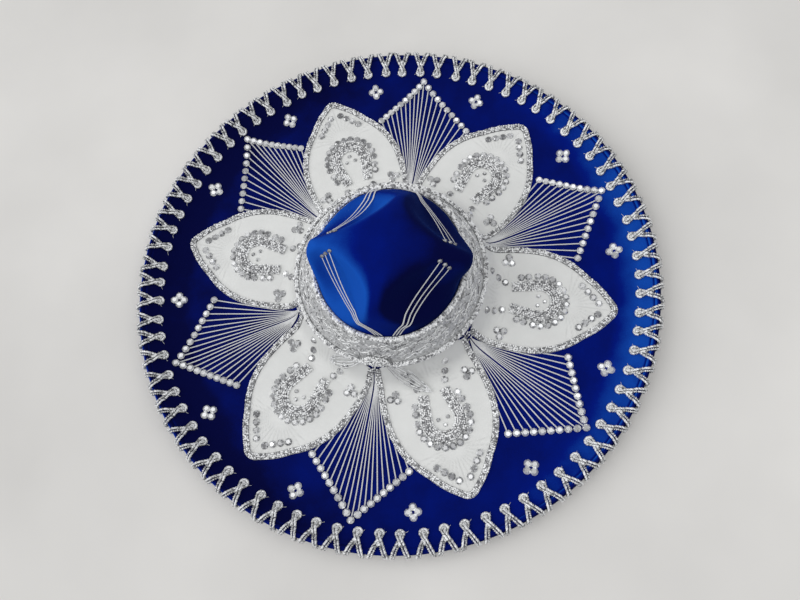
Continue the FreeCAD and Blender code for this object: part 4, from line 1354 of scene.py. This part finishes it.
class HAT_OT_band(HatOperator):
    """Brocade hat band with its beaded cords"""
    bl_idname = "hat.band"
    bl_label = "Hat band"

    def execute(self, context):
        self.measure(context)
        s = self.shape
        line = self.line
        low, high = ((a.z + b.z) / 2 for a, b in (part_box("band_cord_lower"),
                                                  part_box("band_cord_upper")))
        rng = Random(11)
        bm = bmesh.new()
        heights = [low + (high - low) * k / 30 for k in range(31)]
        outer = [(line.side_x(z, s.velvet + s.band_wall), z) for z in heights]
        inner = [(line.side_x(z, s.velvet + GAP), z) for z in heights]
        for end, node in ((0, "band_cord_lower"), (-1, "band_cord_upper")):
            corner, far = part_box(node)
            outer[end] = ((far.x - corner.x - far.z + corner.z) / 2, outer[end][1])
        spin_shell(bm, outer, inner, 300)
        add_piece("brocade_band", bm, "brocade", ["hat_band"])
        self.tinsel(rng)
        bead = bead_mesh(self.trim.bead)
        for name, node in (("band_beads_upper", "band_cord_upper"),
                           ("band_beads_lower", "band_cord_lower")):
            self.cord(name, node, bead, rng)
        return {"FINISHED"}

    def tinsel(self, rng):
        """Loose curls of tinsel and small glints worked into the band."""
        s = self.shape
        face = s.velvet + s.band_wall
        glints, curls = 500, 620
        curl_long, curl_tall, wave = 12 * MM, 7 * MM, 1.8 * MM
        band_radius = 80 * MM
        bm = bmesh.new()
        glint = bead_mesh(2.3 * MM)
        for _ in range(glints):
            around = rng.uniform(0, TURN)
            z = rng.uniform(s.band_low + 1 * MM, s.band_high - 1 * MM)
            scatter(bm, glint, *self.line.side_spot(around, z, face + 0.2 * MM), rng)
        for _ in range(curls):
            around = rng.uniform(0, TURN)
            z = rng.uniform(s.band_low + 4 * MM, s.band_high - 4 * MM)
            swing = rng.uniform(-0.9, 0.9) + rng.choice((0, pi / 2))
            bend = rng.uniform(-1.4, 1.4)
            spots = []
            for k in range(7):
                part = k / 6 - 0.5
                way = swing + bend * part
                dx = curl_long * part * cos(way)
                dz = curl_tall * part * sin(way) + wave * sin(TURN * part + swing)
                spots.append(self.line.side_spot(around + dx / band_radius, z + dz,
                                                 face + 0.35 * MM))
            carry(bm, ring(0.45 * MM, 4), spots)
        paint_face_glints(bm, 12)
        add_piece("band_tinsel", bm, "beads", smooth=False)

    def cord(self, name, node, bead, rng):
        """A cord covered in beads, round the band's edge."""
        low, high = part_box(node)
        radius = (high.x - low.x - (high.z - low.z)) / 2
        thick = (high.z - low.z) / 2
        z = (high.z + low.z) / 2
        bm = bmesh.new()
        spin_cord(bm, radius, z, thick * 0.72, 8, 180)
        pitch = 1.55 * MM
        count = 2 * round(TURN * radius / (2 * pitch))
        pearl = bead_mesh(3.6 * MM)
        for k in range(count):
            for row in range(5):
                around = TURN * (k + rng.uniform(-0.2, 0.2)) / count
                tilt = radians(-40 + 38 * row) + rng.gauss(0, 0.1)
                mesh, reach = (pearl, 1.1) if row in (2, 3) and (k + row) % 2 else (bead, 0.85)
                way = Vector((cos(around) * cos(tilt), sin(around) * cos(tilt), sin(tilt)))
                middle = Vector((radius * cos(around), radius * sin(around), z))
                scatter(bm, mesh, middle + way * thick * reach, way, rng)
        paint_face_glints(bm, 13 + len(name))
        add_piece(name, bm, "beads", [node], smooth=False)


class HAT_OT_crown_threads(HatOperator):
    """Threads across the dents, with the studs they start from"""
    bl_idname = "hat.crown_threads"
    bl_label = "Crown threads"

    def execute(self, context):
        self.measure(context)
        s = self.shape
        t = self.trim
        line = self.line
        threads = bmesh.new()
        studs = bmesh.new()
        stud = stone_mesh(t.crown_stud * 1.15, 2.0 * MM)
        lift = s.velvet + 0.2 * MM + t.crown_thread / 2
        for side, foot in ((0, 90), (180, 90), (180, 270), (0, 270)):
            way = 1 if (foot - side) % 360 == 90 else -1
            facing = radians(side + way * 50)
            for k in range(3):
                top = line.crown_spot(radians(side + way * 14), t.stud_height + 5.5 * MM * k,
                                      s.velvet)
                out = Vector((cos(facing), sin(facing), 0.45)).normalized()
                turn = radians(23 - 3 * k)
                rim = line.crown_spot(radians(foot) - way * turn, self.dent_foot(turn) + 1.5 * MM,
                                      lift)
                middle = line.crown_spot(radians(foot - way * (15.5 - 2.5 * k)), line.waist_z, lift)
                around = radians(foot - way * (9 - 2.5 * k))
                low = line.side_spot(around, s.band_high + s.band_cord + 1 * MM, lift)[0]
                route = [top + out * 1.2 * MM, rim, middle, low]
                stamp(studs, stud, stand(top, out, 0.4 * k))
                for strand in (-1, 1):
                    self.strand(threads, route, strand)
        paint_face_glints(studs, 21, most=0.4)
        bmesh.ops.recalc_face_normals(threads, faces=threads.faces)
        add_piece("dent_threads", threads, "thread", ["crown_threads"])
        add_piece("dent_studs", studs, "stones", ["crown_studs"], smooth=False)
        return {"FINISHED"}

    def dent_foot(self, turn):
        """The height at which a dent runs out on the upright wall."""
        s = self.shape
        along = s.dent_reach * cos(turn - pi / 4)
        across = along - s.wall_radius
        drop = sqrt(s.dent_radius ** 2 - s.dent_reach ** 2 + along ** 2 - across ** 2)
        return s.dent_height - drop

    def clear(self, point):
        """The point, moved out to the velvet where the velvet is further out."""
        around = atan2(point.y, point.x)
        lift = self.shape.velvet + self.trim.crown_thread
        r = max(hypot(point.x, point.y), self.line.crown_x(around, point.z, lift))
        return Vector((r * cos(around), r * sin(around), point.z))

    def strand(self, bm, route, side):
        """One of a thread's two strands, smoothed along its route and kept clear of the velvet."""
        radius = self.trim.crown_thread * 0.29
        spots = []
        for a, b in zip(route, route[1:]):
            spots += [a + (b - a) * (k / 10) for k in range(10)]
        spots.append(route[-1])
        for _ in range(12):
            spots[1:-1] = [(a + b * 2 + c) / 4 for a, b, c in zip(spots, spots[1:], spots[2:])]
        spots = [self.clear(p) for p in spots]
        moved = []
        for k, point in enumerate(spots):
            along = spots[min(k + 1, len(spots) - 1)] - spots[max(k - 1, 0)]
            out = Vector((point.x, point.y, 0.3 * hypot(point.x, point.y))).normalized()
            moved.append((point + along.cross(out).normalized() * side * radius * 1.05, out))
        carry(bm, ring(radius, 5), moved)


class HAT_OT_tie(HatOperator):
    """The knot and loops of silver cord at the front of the band"""
    bl_idname = "hat.tie"
    bl_label = "Tie"

    def execute(self, context):
        self.measure(context)
        s = self.shape
        t = self.trim
        rng = Random(31)
        bead = bead_mesh(t.bead)
        bm = bmesh.new()
        middle, out = self.line.side_spot(t.tie_angle, 47 * MM, s.velvet + s.band_wall + 1.5 * MM)
        place = stand(middle, out)
        core = Matrix.Diagonal((0.0125, 0.0065, 0.0035, 1))
        cover = (0.0128, 0.0069, 0.0040)
        bmesh.ops.create_uvsphere(bm, u_segments=20, v_segments=12, radius=1,
                                  matrix=place @ core)
        for _ in range(260):
            turn, rise = rng.uniform(0, TURN), rng.uniform(0.05, 1)
            flat = sqrt(1 - rise ** 2)
            spot = place @ Vector((cover[0] * flat * cos(turn), cover[1] * flat * sin(turn),
                                   cover[2] * rise))
            scatter(bm, bead, spot, out, rng)
        paint_face_glints(bm, 32)
        add_piece("tie_beaded_knot", bm, "beads", ["tie_knot"], smooth=False)
        for name, node, root, end, seed in (
                ("tie_loop_short", "tie_loop_left", (-0.030, -0.095), (-0.065, -0.090), 1),
                ("tie_loop_long", "tie_loop_right", (-0.002, -0.100), (0.041, -0.122), 2)):
            self.leaf(name, node, Vector(root), Vector(end), Random(seed))
        return {"FINISHED"}

    def leaf(self, name, node, root, end, rng):
        """A narrow loop of several strands, laid over the band and the petal beside the knot."""
        s = self.shape
        t = self.trim
        way = end - root
        side = Vector((-way.y, way.x)).normalized()
        lift = s.velvet + t.satin + t.stone_height + 0.8 * MM
        bm = bmesh.new()
        for n, share in enumerate((1.0, 0.64, 0.24)):
            spots = []
            for k in range(33):
                part = k / 32
                along = (1 - 0.03 * n) * sin(pi * part) ** 0.75
                half = 6 * MM * share * sin(pi * min(1, along * 0.96 + 0.04)) ** 0.8
                plan = root + way * along + side * (half if part < 0.5 else -half)
                rise = rng.gauss(0, 0.06 * MM) + 0.5 * MM * (1 - share)
                spots.append(self.line.spot(plan.x, plan.y, lift + rise))
            carry(bm, ring(0.55 * MM, 6), spots)
        bmesh.ops.recalc_face_normals(bm, faces=bm.faces)
        paint_face_glints(bm, 33, large_piece_top=1.0)
        add_piece(name, bm, "cord", [node])


class HAT_OT_stage(HatOperator):
    """Floor, lights and camera"""
    bl_idname = "hat.stage"
    bl_label = "Stage"

    def execute(self, context):
        bm = bmesh.new()
        bmesh.ops.create_grid(bm, x_segments=1, y_segments=1, size=6)
        mesh = bpy.data.meshes.new("floor")
        bm.to_mesh(mesh)
        bm.free()
        mesh.materials.append(material("floor"))
        link("floor", mesh)
        world = bpy.data.worlds.new("studio")
        bpy.context.scene.world = world
        world.use_nodes = True
        background = world.node_tree.nodes["Background"]
        background.inputs["Color"].default_value = (1, 1, 1, 1)
        background.inputs["Strength"].default_value = 0.42
        self.light("window", 190, 42, 1.3)
        self.light("overhead", 20, 68, 0.75)
        self.camera()
        return {"FINISHED"}

    def light(self, name, around, rise, power):
        """A wide, even light from a direction and a rise above the floor, in degrees."""
        lamp = bpy.data.lights.new(name, "SUN")
        lamp.angle = radians(60)
        lamp.energy = power
        towards = Vector((cos(radians(around)), sin(radians(around)), tan(radians(rise))))
        link(name, lamp).rotation_euler = towards.to_track_quat("Z", "Y").to_euler()

    def camera(self):
        """Nearly overhead, a little towards the front and right."""
        swing, tilt, roll = radians(15.85), radians(16.76), radians(-0.37)
        back = Vector((sin(swing) * sin(tilt), -cos(swing) * sin(tilt), cos(tilt)))
        across = Vector((sin(roll), cos(roll), 0)).cross(back).normalized()
        data = bpy.data.cameras.new("camera")
        data.lens = 27.9
        data.sensor_width = 36
        data.clip_start = 0.01
        camera = link("camera", data)
        basis = Matrix((across, back.cross(across), back)).transposed().to_4x4()
        middle, distance = Vector((0.0069, -0.0196, 0)), 0.6842
        camera.matrix_world = Matrix.Translation(middle + back * distance) @ basis
        bpy.context.scene.camera = camera


OPERATORS = (HAT_OT_velvet, HAT_OT_crown, HAT_OT_inside, HAT_OT_petals, HAT_OT_fans, HAT_OT_stones,
             HAT_OT_edge_loops, HAT_OT_band, HAT_OT_crown_threads, HAT_OT_tie, HAT_OT_stage)


class HAT_PT_panel(bpy.types.Panel):
    """Lists the hat's operators"""
    bl_idname = "HAT_PT_panel"
    bl_label = "Charro hat"
    bl_space_type = "VIEW_3D"
    bl_region_type = "UI"
    bl_category = "Charro hat"

    def draw(self, context):
        for each in OPERATORS:
            self.layout.operator(each.bl_idname)


GROUPS = (("hat_shape", HatShape), ("hat_trim", HatTrim), ("hat_colours", HatColours))
CLASSES = tuple(group for _, group in GROUPS) + OPERATORS + (HAT_PT_panel,)


def register():
    for each in CLASSES:
        bpy.utils.register_class(each)
    for name, group in GROUPS:
        setattr(bpy.types.Scene, name, bpy.props.PointerProperty(type=group))


def unregister():
    for name, _ in GROUPS:
        delattr(bpy.types.Scene, name)
    for each in reversed(CLASSES):
        bpy.utils.unregister_class(each)


def main():
    register()
    for each in OPERATORS:
        group, name = each.bl_idname.split(".")
        getattr(getattr(bpy.ops, group), name)()
    bpy.context.scene.view_settings.view_transform = "Standard"


if __name__ == "__main__":
    main()
